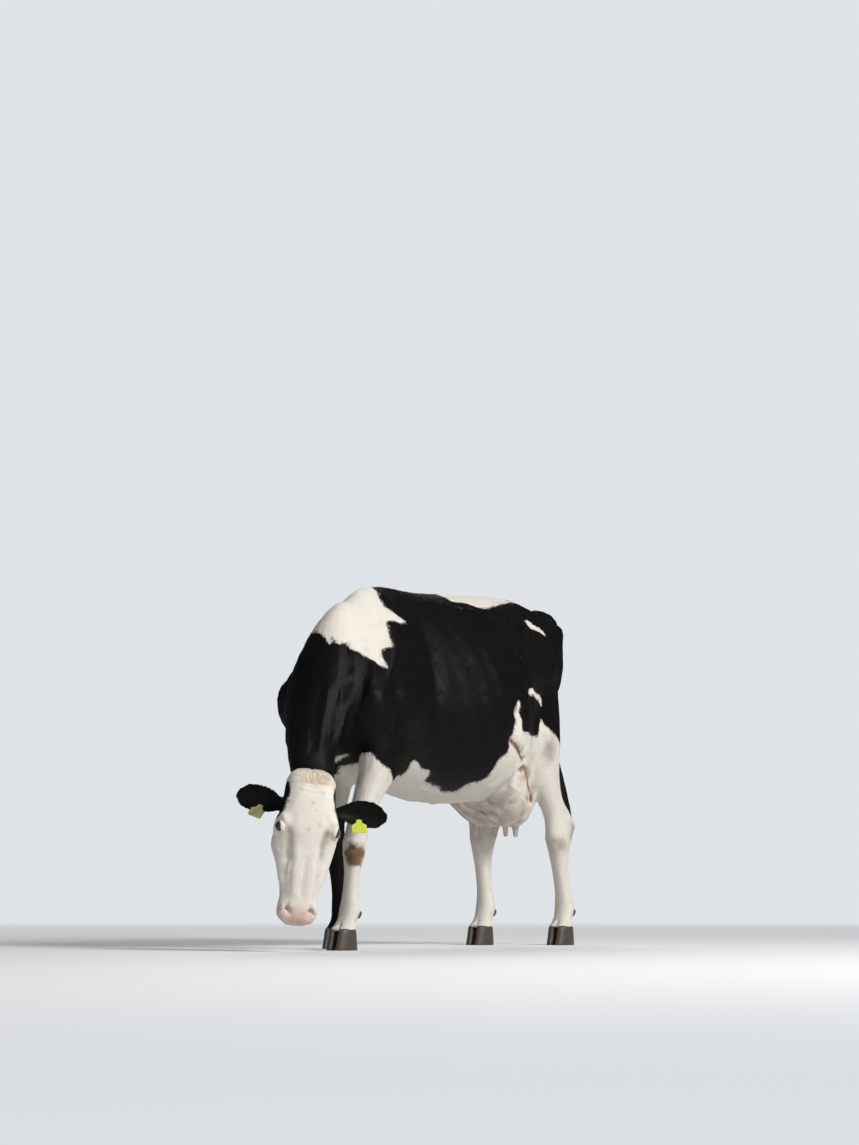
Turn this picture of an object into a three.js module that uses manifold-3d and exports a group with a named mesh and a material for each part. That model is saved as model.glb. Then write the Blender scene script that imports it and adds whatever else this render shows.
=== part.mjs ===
// An adult Holstein dairy cow, grazing: a still, life-size museum model in millimetres, +Z up.
// The cow faces -Y and its left side is +X. While it is built, Y = 0 is the top of the withers;
// at the end the whole animal is moved so that the origin is the middle of its footprint.
import * as THREE from "three";
import { mergeVertices } from "three/addons/utils/BufferGeometryUtils.js";
import Module from "manifold-3d";

const wasm = await Module();
wasm.setup();

// ---- Driving dimensions -------------------------------------------------------------------
const GAP = 0.3; // between neighbouring pieces
const LEFT = 1;
const RIGHT = -1;

// Heights over the ground
const WITHERS = 1450;
const CHINE = 1447; // behind the withers
const LOIN = 1458;
const HOOKS = 1468; // the spine between the hook bones
const TAIL_HEAD = 1441;
const PINS = 1342;
const THURLS = 1130;
const STERNUM = 636;
const BELLY = 582;
const POINT_OF_SHOULDER = 972;
const KNEE = 398;
const HOCK = 485;
const CORONET = 74;
const UDDER_FLOOR = 500;
const TEAT_TIP = 452;

// Distances behind the top of the withers
const SHOULDER_AT = -405;
const GIRTH_AT = 120;
const BARREL_AT = 400;
const HOOKS_AT = 650;
const THURLS_AT = 900;
const PINS_AT = 1180;

// Half widths
const CHEST_HALF = 262;
const BARREL_HALF = 378;
const HOOKS_HALF = 262;
const PINS_HALF = 118;

// The head and how it is held
const HEAD_LENGTH = 572;
const HEAD_YAW = THREE.MathUtils.degToRad(47); // turned to the cow's left
const HEAD_TILT = THREE.MathUtils.degToRad(7); // the muzzle reaches forward
const HEAD_ROLL = THREE.MathUtils.degToRad(7.2); // the left ear hangs lower
const POLL = new THREE.Vector3(158, -714, 668);
const EYE_AT = 218; // from the poll towards the muzzle
const EYE_OUT = 102;
const EYE_FORWARD = 38;
const EYE_RADIUS = 21;
const MOUTH_GAP = 1.2;
const EAR_LENGTH = 206;
const EAR_HALF_WIDTH = 59;

// How far each foot stands behind (+) or ahead of (-) its even place
const FORE_STEP = { left: -165, right: 130 };
const HIND_STEP = { left: 98, right: -94 };

// Claws
const CLAW_HALF = 25;
const CLAW_LENGTH = 128;
const TAG_WIDTH = 56;
const TAG_HEIGHT = 50;
const TAG_THICK = 2.2;
const STUD_LENGTH = 22;

// How many corners the rings have
const TRUNK_CORNERS = 28;
const NECK_CORNERS = 20;
const LEG_CORNERS = 12;
const CLAW_CORNERS = 10;
const HEAD_CORNERS = 20;
const EAR_CORNERS = 12;
const UDDER_CORNERS = 16;
const TEAT_CORNERS = 6;
const TAIL_CORNERS = 8;

// ---- Finishes -----------------------------------------------------------------------------
const finish = (color, roughness) => ({ color, roughness, metalness: 0 });
const BLACK_COAT = finish(0x17130f, 0.7);
const WHITE_COAT = finish(0xe9e3d6, 0.8);
const UDDER_SKIN = finish(0xd9b8a4, 0.65);
const HORN = finish(0x3a332b, 0.5);
const EYE = finish(0x120d0a, 0.1);
const TAG = finish(0xd3e01c, 0.45);

// ---- Curves through named stations --------------------------------------------------------

// A smooth function through values[i] at keys[i] that never overshoots them
function track(keys, values) {
  const last = keys.length - 1;
  const slopes = keys.slice(1).map((key, i) => (values[i + 1] - values[i]) / (key - keys[i]));
  const tangent = keys.map((key, i) => {
    if (i === 0 || i === last) return slopes[i === 0 ? 0 : last - 1];
    const before = slopes[i - 1];
    const after = slopes[i];
    return before * after <= 0 ? 0 : (2 * before * after) / (before + after);
  });
  return (key) => {
    const k = THREE.MathUtils.clamp(key, keys[0], keys[last]);
    let i = 0;
    while (i < last - 1 && k > keys[i + 1]) i += 1;
    const span = keys[i + 1] - keys[i];
    const t = (k - keys[i]) / span;
    const blend = t * t * (3 - 2 * t);
    const start = t * (1 - t) * (1 - t) * tangent[i] * span;
    const end = t * t * (t - 1) * tangent[i + 1] * span;
    return values[i] + (values[i + 1] - values[i]) * blend + start + end;
  };
}

// Stations are objects with the same names; each name becomes a track over the key
function tracks(key, stations) {
  const sorted = [...stations].sort((a, b) => a[key] - b[key]);
  const keys = sorted.map((station) => station[key]);
  const names = Object.keys(sorted[0]).filter((name) => name !== key);
  const made = names.map((name) => [name, track(keys, sorted.map((station) => station[name]))]);
  return (k) => Object.fromEntries(made.map(([name, value]) => [name, value(k)]));
}

// Even steps from one number to another
const steps = (from, to, count) =>
  Array.from({ length: count }, (unused, i) => from + ((to - from) * i) / (count - 1));

const bell = (distance) => Math.exp(-distance * distance);
const roundTo = (value, power) => Math.sign(value) * Math.abs(value) ** power;

// ---- Lofts --------------------------------------------------------------------------------

// A muscle, bone or hollow: it lifts the surface near `at` by `lift`, within `reach` each way
function lifted(point, centre, mounds) {
  const outward = point.clone().sub(centre).normalize();
  const lift = mounds.reduce((sum, mound) => {
    const away = point.clone().sub(mound.at).divide(mound.reach).length();
    return sum + mound.lift * bell(away);
  }, 0);
  return point.clone().addScaledVector(outward, lift);
}

// One closed ring round `centre`: `side` and `up` span its plane. The upper half has the height
// `over` and the roundness `overPower`, the lower half `under` and `underPower`.
function ring(centre, side, up, size, corners, grow = 0) {
  return steps(0, 2 * Math.PI, corners + 1)
    .slice(0, corners)
    .map((angle) => {
      const isOver = Math.sin(angle) >= 0;
      const power = 2 / (isOver ? size.overPower : size.underPower);
      const height = (isOver ? size.over : size.under) + grow;
      return centre
        .clone()
        .addScaledVector(side, (size.half + grow) * roundTo(Math.cos(angle), power))
        .addScaledVector(up, height * roundTo(Math.sin(angle), power));
    });
}

// A closed skin over rings that have the same number of corners
function loft(rings) {
  const corners = rings[0].length;
  const points = rings.flat();
  const middle = (list) =>
    list.reduce((sum, p) => sum.add(p), new THREE.Vector3()).divideScalar(list.length);
  const faces = [];
  for (let r = 0; r < rings.length - 1; r += 1) {
    for (let c = 0; c < corners; c += 1) {
      const a = r * corners + c;
      const b = r * corners + ((c + 1) % corners);
      faces.push(a, b, b + corners, a, b + corners, a + corners);
    }
  }
  const first = points.length;
  points.push(middle(rings[0]), middle(rings.at(-1)));
  const tail = (rings.length - 1) * corners;
  for (let c = 0; c < corners; c += 1) {
    const next = (c + 1) % corners;
    faces.push(first, next, c, first + 1, tail + c, tail + next);
  }
  const geometry = new THREE.BufferGeometry();
  const numbers = points.flatMap((p) => [...p]);
  geometry.setAttribute("position", new THREE.Float32BufferAttribute(numbers, 3));
  geometry.setIndex(faces);
  return geometry;
}

function volume(geometry) {
  const at = geometry.getAttribute("position");
  const corner = (i) => new THREE.Vector3().fromBufferAttribute(at, geometry.index.getX(i));
  let sum = 0;
  for (let i = 0; i < geometry.index.count; i += 3) {
    sum += corner(i).dot(corner(i + 1).cross(corner(i + 2))) / 6;
  }
  return sum;
}

// ---- Cutting and joining ------------------------------------------------------------------

function solid(geometry) {
  const plain = geometry.clone();
  plain.deleteAttribute("normal");
  plain.deleteAttribute("uv");
  const merged = mergeVertices(plain, 1e-3);
  const triVerts = Uint32Array.from(merged.index.array);
  if (volume(merged) < 0) triVerts.reverse();
  const vertProperties = Float32Array.from(merged.getAttribute("position").array);
  return new wasm.Manifold(new wasm.Mesh({ numProp: 3, vertProperties, triVerts }));
}

function geometryOf(manifold) {
  const mesh = manifold.getMesh();
  const geometry = new THREE.BufferGeometry();
  geometry.setAttribute("position", new THREE.Float32BufferAttribute(mesh.vertProperties, 3));
  geometry.setIndex(Array.from(mesh.triVerts));
  return geometry;
}

// The largest body of a cut piece: slivers that a cut leaves are dropped
function largest(manifold) {
  return manifold.decompose().sort((a, b) => b.volume() - a.volume())[0];
}

const without = (piece, ...cutters) =>
  largest(cutters.reduce((rest, cutter) => rest.subtract(cutter), piece));

const v = (x, y, z) => new THREE.Vector3(x, y, z);
const X = v(1, 0, 0);
const Y = v(0, 1, 0);
const Z = v(0, 0, 1);

// ---- Trunk --------------------------------------------------------------------------------

// Across the trunk at each `y`: the top, the bottom, the half width, the level of the widest
// place, and how square the section is over and under that level
const trunkStation = (y, top, bottom, half, level, overPower, underPower) => ({
  y,
  top,
  bottom,
  half,
  level,
  overPower,
  underPower,
});
const TRUNK = [
  trunkStation(-452, 1010, 800, 64, 900, 2, 2),
  trunkStation(-436, 1085, 780, 132, 915, 2, 2),
  trunkStation(SHOULDER_AT, 1165, 757, 190, 930, 1.8, 2.1),
  trunkStation(-330, 1290, 724, 232, 930, 1.62, 2.1),
  trunkStation(-240, 1412, 688, CHEST_HALF - 8, 930, 1.52, 2.1),
  trunkStation(-110, 1443, STERNUM + 14, CHEST_HALF, 930, 1.5, 2.1),
  trunkStation(0, WITHERS, STERNUM - 8, CHEST_HALF + 6, 930, 1.45, 2.1),
  trunkStation(GIRTH_AT, CHINE - 1, 616, 296, 925, 1.5, 2.1),
  trunkStation(250, CHINE, 598, 345, 915, 1.65, 2.1),
  trunkStation(BARREL_AT, CHINE + 9, BELLY, BARREL_HALF, 905, 1.75, 2.15),
  trunkStation(520, LOIN, BELLY + 6, 366, 925, 1.9, 2.1),
  trunkStation(HOOKS_AT, HOOKS - 2, 632, 308, 990, 2.1, 2),
  trunkStation(755, HOOKS + 2, 705, 258, 1060, 2.1, 2),
  trunkStation(THURLS_AT - 20, HOOKS + 1, 780, 230, THURLS, 2, 2),
  trunkStation(1010, TAIL_HEAD + 9, 860, 200, THURLS + 20, 2, 2),
  trunkStation(1100, TAIL_HEAD - 11, 950, 166, THURLS + 50, 1.9, 2),
  trunkStation(1165, 1414, 1040, 130, THURLS + 80, 2, 2),
  trunkStation(1206, 1370, 1110, 84, THURLS + 100, 2, 2),
  trunkStation(1222, 1310, 1160, 34, THURLS + 105, 2, 2),
];

const mound = (at, reach, lift) => ({ at, reach, lift });

// Bones and muscles on one side of the trunk
function trunkSide(side) {
  const step = -(side === LEFT ? FORE_STEP.left : FORE_STEP.right) * 0.2; // the shoulder follows
  const isLeft = side === LEFT;
  const shoulder = POINT_OF_SHOULDER + (isLeft ? -10 : 18); // higher over the leg that stands back
  return [
    mound(v(side * HOOKS_HALF, HOOKS_AT, 1402), v(66, 62, 50), 56), // hook bone
    mound(v(side * PINS_HALF, PINS_AT + 8, PINS), v(46, 52, 54), 42), // pin bone
    mound(v(side * 235, THURLS_AT + 10, THURLS + 30), v(90, 110, 100), 16), // thurl
    mound(v(side * 240, SHOULDER_AT - step + 12, shoulder), v(92, 74, 94), isLeft ? 54 : 70),
    mound(v(side * 245, -300 - step, 905), v(90, 120, 130), 14), // upper arm
    mound(v(side * 190, -130 - step * 0.5, 1190), v(120, 84, 150), 18), // shoulder blade
    mound(v(side * 262, 45 - step, 870), v(90, 60, 130), -14), // hollow behind the shoulder
    mound(v(side * 300, 560, 1270), v(130, 80, 90), -44), // hunger hollow before the hook
    mound(v(side * 330, 640, 900), v(120, 70, 120), -12), // flank
    mound(v(side * 190, 830, 1400), v(80, 150, 60), -12), // rump between hook and pin
    mound(v(side * 70, 1110, 1400), v(36, 60, 60), -16), // beside the tail head
  ];
}

function trunkLoft(grow = 0) {
  const at = tracks("y", TRUNK);
  const mounds = [...trunkSide(LEFT), ...trunkSide(RIGHT)];
  const places = [
    ...steps(-452, -330, 5),
    ...steps(-290, 520, 15),
    ...steps(560, 760, 6),
    ...steps(810, 1100, 6),
    ...steps(1140, 1222, 5),
  ];
  const rings = places.map((y, i) => {
    const size = at(y);
    const end = i === 0 ? -grow : i === places.length - 1 ? grow : 0;
    const centre = v(0, y + end, size.level);
    size.over = size.top - size.level;
    size.under = size.level - size.bottom;
    return ring(centre, X, Z, size, TRUNK_CORNERS, grow).map((p) => lifted(p, centre, mounds));
  });
  return solid(loft(rings));
}

// ---- Legs ---------------------------------------------------------------------------------

// Across a leg at each `z`: how far behind the withers, how far off the midline, its half depth
// before and behind its middle, its half width, how square it is, how square it is behind, and
// how far its rear edge stands in towards the midline
const legStation = (z, y, x, before, behind, half, power, rearPower = power, rearIn = 0) => ({
  z,
  y,
  x,
  before,
  behind,
  half,
  power,
  rearPower,
  rearIn,
});
const FORELEG = [
  legStation(CORONET, -288, 112, 58, 50, 55, 2.3),
  legStation(92, -272, 112, 48, 40, 49, 2.2),
  legStation(118, -262, 113, 37, 34, 41, 2.2),
  legStation(150, -254, 114, 38, 42, 44, 2.2),
  legStation(176, -254, 115, 37, 40, 42, 2.2),
  legStation(215, -258, 117, 31, 34, 33, 2.2),
  legStation(300, -262, 121, 30, 36, 32, 2.2),
  legStation(345, -263, 124, 37, 42, 41, 2.3),
  legStation(KNEE, -266, 127, 48, 48, 50, 2.4),
  legStation(440, -264, 130, 46, 46, 48, 2.3),
  legStation(490, -258, 134, 46, 47, 46, 2.2),
  legStation(560, -242, 144, 56, 64, 53, 2.1),
  legStation(640, -216, 156, 74, 98, 62, 2),
  legStation(720, -194, 174, 96, 138, 76, 2),
  legStation(790, -190, 178, 112, 150, 78, 2),
  legStation(870, -200, 166, 112, 122, 68, 2),
  legStation(950, -220, 150, 84, 84, 48, 2),
];
const HINDLEG = [
  legStation(CORONET, 1012, 146, 58, 52, 55, 2.3),
  legStation(92, 1027, 146, 48, 42, 49, 2.2),
  legStation(118, 1038, 146, 38, 36, 42, 2.2),
  legStation(152, 1048, 147, 40, 44, 45, 2.2),
  legStation(180, 1048, 147, 38, 42, 43, 2.2),
  legStation(225, 1040, 148, 34, 38, 34, 2.2),
  legStation(330, 1022, 150, 37, 42, 35, 2.2),
  legStation(390, 1012, 152, 48, 58, 42, 2.2),
  legStation(440, 1006, 154, 58, 86, 48, 2.2),
  legStation(HOCK, 1002, 157, 62, 130, 47, 2.1, 1.8),
  legStation(528, 992, 159, 60, 134, 43, 2, 1.7),
  legStation(575, 966, 161, 62, 120, 43, 2, 1.7),
  legStation(640, 918, 164, 80, 116, 50, 2, 1.8, 4),
  legStation(710, 872, 168, 108, 144, 62, 2, 1.8, 10),
  legStation(790, 846, 172, 140, 186, 76, 2, 1.8, 18),
  legStation(870, 840, 172, 176, 214, 86, 2, 1.8, 30),
  legStation(960, 850, 166, 188, 222, 92, 2, 1.8, 46),
  legStation(1060, 868, 152, 180, 222, 90, 2, 1.8, 50),
  legStation(1160, 885, 132, 150, 200, 76, 2, 1.8, 44),
  legStation(1240, 895, 105, 90, 110, 50, 2, 1.8, 20),
];

// A leg leans about the height `hip`, by `lean` at the ground
const LEGS = [
  { name: "foreleg_left", table: FORELEG, side: LEFT, lean: FORE_STEP.left, hip: 1600 },
  { name: "foreleg_right", table: FORELEG, side: RIGHT, lean: FORE_STEP.right, hip: 1600 },
  { name: "hindleg_left", table: HINDLEG, side: LEFT, lean: HIND_STEP.left, hip: 1170 },
  { name: "hindleg_right", table: HINDLEG, side: RIGHT, lean: HIND_STEP.right, hip: 1170 },
];

// How far a leg's lean carries it at one height
const leant = (leg, z) => leg.lean * THREE.MathUtils.clamp((leg.hip - z) / leg.hip, 0, 1);

// Bones that stand out on one leg
function legMounds(leg) {
  const at = (x, y, z) => v(leg.side * x, y + leant(leg, z), z);
  if (leg.table === FORELEG) {
    return [
      mound(at(165, -78, 760), v(50, 36, 44), 22), // elbow
      mound(at(127, -222, KNEE - 4), v(26, 22, 26), 9), // bone behind the knee
      mound(at(100, -200, 154), v(60, 30, 24), 5),
    ];
  }
  return [
    mound(at(236, 690, 866), v(60, 52, 70), 16), // stifle
    mound(at(158, 1120, 508), v(32, 28, 32), 17), // point of the hock
    mound(at(200, 990, HOCK - 25), v(26, 40, 50), -4),
  ];
}

function legLoft(leg, grow = 0) {
  const at = tracks("z", leg.table);
  const heights = leg.table.map((station) => station.z);
  const top = heights.at(-1);
  const rings = heights.map((z) => {
    const size = at(z);
    const end = z === CORONET ? -grow : z === top ? grow : 0;
    const centre = v(leg.side * size.x, size.y + leant(leg, z), z + end);
    const shape = {
      half: size.half,
      over: size.behind,
      under: size.before,
      overPower: size.rearPower,
      underPower: size.power,
    };
    return ring(centre, X, Y, shape, LEG_CORNERS, grow).map((p) => {
      const rearward = Math.max(p.y - centre.y, 0) / size.behind;
      p.x -= leg.side * size.rearIn * rearward ** 2;
      return lifted(p, centre, legMounds(leg));
    });
  });
  return solid(loft(rings));
}

// ---- Claws --------------------------------------------------------------------------------

// One of a foot's two claws: flat on the ground, its wall sloping forward to the toe
function clawGeometry(leg, inner) {
  const foot = tracks("z", leg.table)(CORONET);
  const back = foot.y + leant(leg, CORONET) + foot.behind;
  const across = leg.side * foot.x + (inner ? -leg.side : leg.side) * (CLAW_HALF + 1.6);
  const levels = [0, 20, 46, CORONET - GAP];
  const rings = levels.map((z) => {
    const up = z / CORONET;
    const heel = back + 4 - 10 * up;
    const length = CLAW_LENGTH * (1 - 0.26 * up ** 0.9);
    const centre = v(across, heel - length * 0.5, z);
    const half = CLAW_HALF * (1 - 0.1 * up) * (z === 0 ? 0.95 : 1);
    const size = { half, over: length / 2, under: length / 2, overPower: 2.6, underPower: 2.1 };
    return ring(centre, X, Y, size, CLAW_CORNERS).map((p) => {
      const toward = (centre.y - p.y) / (length / 2);
      const inward = inner ? leg.side : -leg.side;
      p.x += inward * Math.max(toward, 0) ** 2 * 7; // the toe curves to its neighbour
      return p;
    });
  });
  return solid(loft(rings));
}

// Claws of one foot must not touch where their toes curve together
function clawSlot(leg) {
  const foot = tracks("z", leg.table)(CORONET);
  const plate = new THREE.BoxGeometry(3, 320, 200);
  plate.translate(leg.side * foot.x, foot.y + leant(leg, CORONET), 60);
  return solid(plate);
}

// A dewclaw: a blunt horn cone behind the fetlock
function dewclawGeometry(leg, inner) {
  const foot = tracks("z", leg.table)(150);
  const cone = new THREE.CapsuleGeometry(12, 14, 2, 6);
  cone.rotateX(THREE.MathUtils.degToRad(52));
  cone.translate(
    leg.side * foot.x + (inner ? -1 : 1) * leg.side * 21,
    foot.y + leant(leg, 138) + foot.behind + 1,
    136,
  );
  return solid(cone);
}

// ---- Neck ---------------------------------------------------------------------------------

// The neck is a row of slices from its crest to its throat; each turns a little to the left
const neckStation = (t, crest, throat, half, turn, overPower) => ({
  t,
  crestX: crest[0],
  crestY: crest[1],
  crestZ: crest[2],
  throatX: throat[0],
  throatY: throat[1],
  throatZ: throat[2],
  half,
  turn,
  overPower,
});
const NECK = [
  neckStation(0, [0, -150, 1340], [0, -300, 760], 120, 0, 1.9),
  neckStation(1, [-8, -268, 1388], [0, -385, 724], 150, 0, 1.7),
  neckStation(2, [-14, -376, 1324], [0, -434, 724], 160, 0, 1.6),
  neckStation(3, [-14, -448, 1212], [4, -474, 722], 149, 4, 1.7),
  neckStation(4, [12, -506, 1088], [14, -494, 712], 136, 10, 1.8),
  neckStation(5, [38, -562, 964], [36, -520, 718], 117, 17, 1.9),
  neckStation(6, [68, -629, 840], [62, -548, 690], 99, 26, 2),
  neckStation(7, [106, -686, 726], [97, -582, 632], 87, 35, 2),
  neckStation(8, [137, -705, 636], [133, -608, 570], 80, 40, 2),
];

const NECK_RINGS = 14;

function neckLoft(grow = 0) {
  const at = tracks("t", NECK);
  const last = NECK.length - 1;
  const rings = steps(0, last, NECK_RINGS).map((t) => {
    const size = at(t);
    const crest = v(size.crestX, size.crestY, size.crestZ);
    const throat = v(size.throatX, size.throatY, size.throatZ);
    const up = crest.clone().sub(throat);
    const depth = up.length();
    up.normalize();
    const turn = THREE.MathUtils.degToRad(size.turn);
    const side = v(Math.cos(turn), Math.sin(turn), 0);
    const centre = throat.clone().addScaledVector(up, depth * 0.5);
    const shape = {
      half: size.half,
      over: depth / 2,
      under: depth / 2,
      overPower: size.overPower,
      underPower: 1.7,
    };
    return ring(centre, side, up, shape, NECK_CORNERS, grow);
  });
  return solid(loft(rings));
}

// ---- Head ---------------------------------------------------------------------------------

// In the head's own frame X is the cow's left, -Y the face and -Z the muzzle; the poll is 0.
// Across the head at each `t` from the poll: half width, how far the face lies before the axis
// and the jaw behind it, and how square each side is
const headStation = (t, half, face, jaw, facePower, jawPower) => ({
  t,
  half,
  face,
  jaw,
  facePower,
  jawPower,
});
const HEAD = [
  headStation(-22, 34, 22, 40, 2, 2),
  headStation(-8, 74, 46, 84, 2.2, 2),
  headStation(30, 96, 66, 110, 2.4, 2),
  headStation(80, 103, 76, 124, 2.6, 2),
  headStation(140, 106, 80, 140, 2.7, 1.9),
  headStation(EYE_AT, 117, 76, 160, 2.5, 1.9),
  headStation(285, 104, 66, 166, 2.2, 2.4),
  headStation(350, 93, 56, 150, 2.2, 2.4),
  headStation(420, 83, 46, 122, 2.2, 2.2),
  headStation(480, 74, 38, 100, 2.3, 2.2),
  headStation(525, 76, 34, 90, 2.5, 2.2),
  headStation(555, 70, 26, 80, 2.6, 2.2),
  headStation(HEAD_LENGTH, 50, 4, 58, 2.4, 2.2),
];

const headPoint = (x, t, forward) => v(x, -forward, -t);

function headSide(side) {
  return [
    mound(headPoint(side * 112, EYE_AT - 6, 44), v(30, 32, 42), 15), // brow over the eye
    mound(headPoint(side * 98, EYE_AT + 10, -6), v(28, 30, 44), 6), // under the eye
    mound(headPoint(side * 80, EYE_AT + 62, 66), v(30, 34, 40), -9), // hollow before the eye
    mound(headPoint(side * 84, EYE_AT + 98, 0), v(26, 34, 50), 9), // crest of the cheek
    mound(headPoint(side * 84, 272, -88), v(44, 70, 70), 20), // chewing muscle
    mound(headPoint(side * 92, 112, -42), v(40, 44, 50), -8), // temple
    mound(headPoint(side * 46, 534, 30), v(20, 22, 18), -8), // nostril
    mound(headPoint(side * 62, 528, 6), v(22, 30, 24), 5), // wing of the nostril
    mound(headPoint(side * 60, 430, -40), v(40, 44, 40), -5), // before the cheek
  ];
}

function headLoft(grow = 0) {
  const at = tracks("t", HEAD);
  const mounds = [
    ...headSide(LEFT),
    ...headSide(RIGHT),
    mound(headPoint(0, 150, 84), v(60, 60, 40), -5), // dish of the forehead
    mound(headPoint(0, -14, 10), v(60, 60, 34), 8), // poll
  ];
  const places = [
    ...[-22, -8, 15],
    ...steps(50, 175, 4),
    ...steps(198, 270, 4),
    ...steps(300, 490, 6),
    ...steps(513, 555, 3),
    ...[566, HEAD_LENGTH],
  ];
  const rings = places.map((t, i) => {
    const size = at(t);
    const end = i === 0 ? -grow : i === places.length - 1 ? grow : 0;
    const centre = headPoint(0, t + end, 0);
    const shape = {
      half: size.half,
      over: size.face,
      under: size.jaw,
      overPower: size.facePower,
      underPower: size.jawPower,
    };
    const face = Y.clone().negate();
    return ring(centre, X, face, shape, HEAD_CORNERS, grow).map((p) => lifted(p, centre, mounds));
  });
  return solid(loft(rings));
}

// The lower jaw is what lies behind the line of the mouth
function jawBlock(grow) {
  const profile = new THREE.Shape();
  profile.moveTo(-HEAD_LENGTH - 40, 30 - grow);
  profile.lineTo(-HEAD_LENGTH + 10, 34 - grow);
  profile.lineTo(-HEAD_LENGTH + 60, 50 - grow);
  profile.lineTo(-HEAD_LENGTH + 150, 62 - grow);
  profile.lineTo(-HEAD_LENGTH + 230 + grow, 92 - grow);
  profile.lineTo(-HEAD_LENGTH + 270 + grow, 200);
  profile.lineTo(-HEAD_LENGTH - 40, 200);
  const block = new THREE.ExtrudeGeometry(profile, { depth: 320, bevelEnabled: false });
  block.translate(0, 0, -160);
  const frame = new THREE.Matrix4().makeBasis(Z, Y, X.clone().negate());
  block.applyMatrix4(frame);
  return solid(block);
}

function eyeGeometry(side, grow = 0) {
  const ball = new THREE.SphereGeometry(EYE_RADIUS + grow, 11, 7);
  ball.translate(...headPoint(side * EYE_OUT, EYE_AT, EYE_FORWARD));
  return solid(ball);
}

// ---- Ears and tags ------------------------------------------------------------------------

// Along an ear from its root (0) to its tip (1)
const EAR = [
  { u: 0, half: 0.38, cup: 0.3, thick: 26 },
  { u: 0.14, half: 0.5, cup: 0.42, thick: 19 },
  { u: 0.32, half: 0.82, cup: 0.5, thick: 13 },
  { u: 0.54, half: 0.98, cup: 0.42, thick: 11 },
  { u: 0.76, half: 0.94, cup: 0.34, thick: 10 },
  { u: 0.91, half: 0.68, cup: 0.24, thick: 9 },
  { u: 1, half: 0.26, cup: 0.12, thick: 6 },
];

const EAR_RINGS = 10;
const EAR_DROOP = 18; // of the tip

// An ear in its own frame: it grows along X, its opening faces -Y and its upper edge is +Z
function earLoft(grow = 0) {
  const at = tracks("u", EAR);
  const rings = steps(0, 1, EAR_RINGS).map((u) => {
    const size = at(u);
    const bow = EAR_HALF_WIDTH * size.cup;
    return steps(0, 2 * Math.PI, EAR_CORNERS + 1).slice(0, EAR_CORNERS).map((angle) => {
      const across = Math.cos(angle) * (EAR_HALF_WIDTH * size.half + grow);
      const shell = Math.sin(angle) * (size.thick / 2 + grow);
      const hollow = bow * (1 - Math.cos(angle) ** 2);
      return v(u * EAR_LENGTH, hollow + shell, across - EAR_DROOP * u * u);
    });
  });
  return solid(loft(rings));
}

// Where an ear sits on the head: the root, and how far it is swept back and hangs down
const EARS = {
  left: { side: LEFT, root: headPoint(103, 132, -12), sweep: 6, hang: -7 },
  right: { side: RIGHT, root: headPoint(-86, 133, -16), sweep: -28, hang: -18 },
};

function earFrame(ear) {
  const turn = new THREE.Matrix4().makeRotationZ(THREE.MathUtils.degToRad(-ear.sweep));
  turn.multiply(new THREE.Matrix4().makeRotationY(THREE.MathUtils.degToRad(ear.hang)));
  const mirror = new THREE.Matrix4().makeScale(ear.side, 1, 1);
  const place = new THREE.Matrix4().makeTranslation(...ear.root);
  return place.multiply(mirror).multiply(turn);
}

// A tag: a flag before the ear, a button behind it, and the stud that joins them
function tagLoft(grow = 0) {
  const half = TAG_WIDTH / 2 + grow;
  const low = -TAG_HEIGHT - grow;
  const neck = 11 + grow;
  const flag = new THREE.Shape();
  flag.moveTo(-half + 6, low);
  flag.lineTo(half - 6, low);
  flag.quadraticCurveTo(half, low, half, low + 6);
  flag.lineTo(half, -16 + grow);
  flag.lineTo(neck, -4 + grow);
  flag.lineTo(neck, 6);
  flag.quadraticCurveTo(0, 17 + 2 * grow, -neck, 6);
  flag.lineTo(-neck, -4 + grow);
  flag.lineTo(-half, -16 + grow);
  flag.lineTo(-half, low + 6);
  flag.quadraticCurveTo(-half, low, -half + 6, low);
  const plate = new THREE.ExtrudeGeometry(flag, {
    depth: TAG_THICK + 2 * grow,
    bevelEnabled: false,
    curveSegments: 2,
  });
  plate.rotateX(Math.PI / 2);
  plate.translate(0, grow, 0);
  const stud = new THREE.CylinderGeometry(4 + grow, 4 + grow, STUD_LENGTH + 2, 6);
  stud.translate(0, STUD_LENGTH / 2 - 1, 0);
  const button = new THREE.CylinderGeometry(14 + grow, 14 + grow, 3 + 2 * grow, 12);
  button.translate(0, STUD_LENGTH, 0);
  return solid(plate).add(solid(stud)).add(solid(button));
}

// Where the tag pierces the ear, in the ear's frame
const tagFrame = new THREE.Matrix4()
  .makeTranslation(EAR_LENGTH * 0.46, 2, -EAR_HALF_WIDTH * 0.6)
  .multiply(new THREE.Matrix4().makeRotationX(THREE.MathUtils.degToRad(-26)));

// ---- Udder --------------------------------------------------------------------------------

// Across the udder at each `z`
const udderStation = (z, y, before, behind, half, power) => ({ z, y, before, behind, half, power });
const UDDER = [
  udderStation(UDDER_FLOOR, 842, 66, 76, 80, 2.1),
  udderStation(UDDER_FLOOR + 10, 836, 102, 108, 114, 2.2),
  udderStation(UDDER_FLOOR + 34, 822, 128, 136, 142, 2.3),
  udderStation(575, 802, 158, 168, 170, 2.4),
  udderStation(625, 778, 212, 190, 188, 2.4),
  udderStation(700, 752, 268, 208, 202, 2.4),
  udderStation(790, 748, 262, 216, 200, 2.3),
  udderStation(880, 756, 220, 205, 150, 2.2),
  udderStation(960, 770, 150, 165, 90, 2),
];

const TEATS = [LEFT, RIGHT].flatMap((side) => [
  { x: side * 76, y: 782 },
  { x: side * 52, y: 896 },
]);

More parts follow.
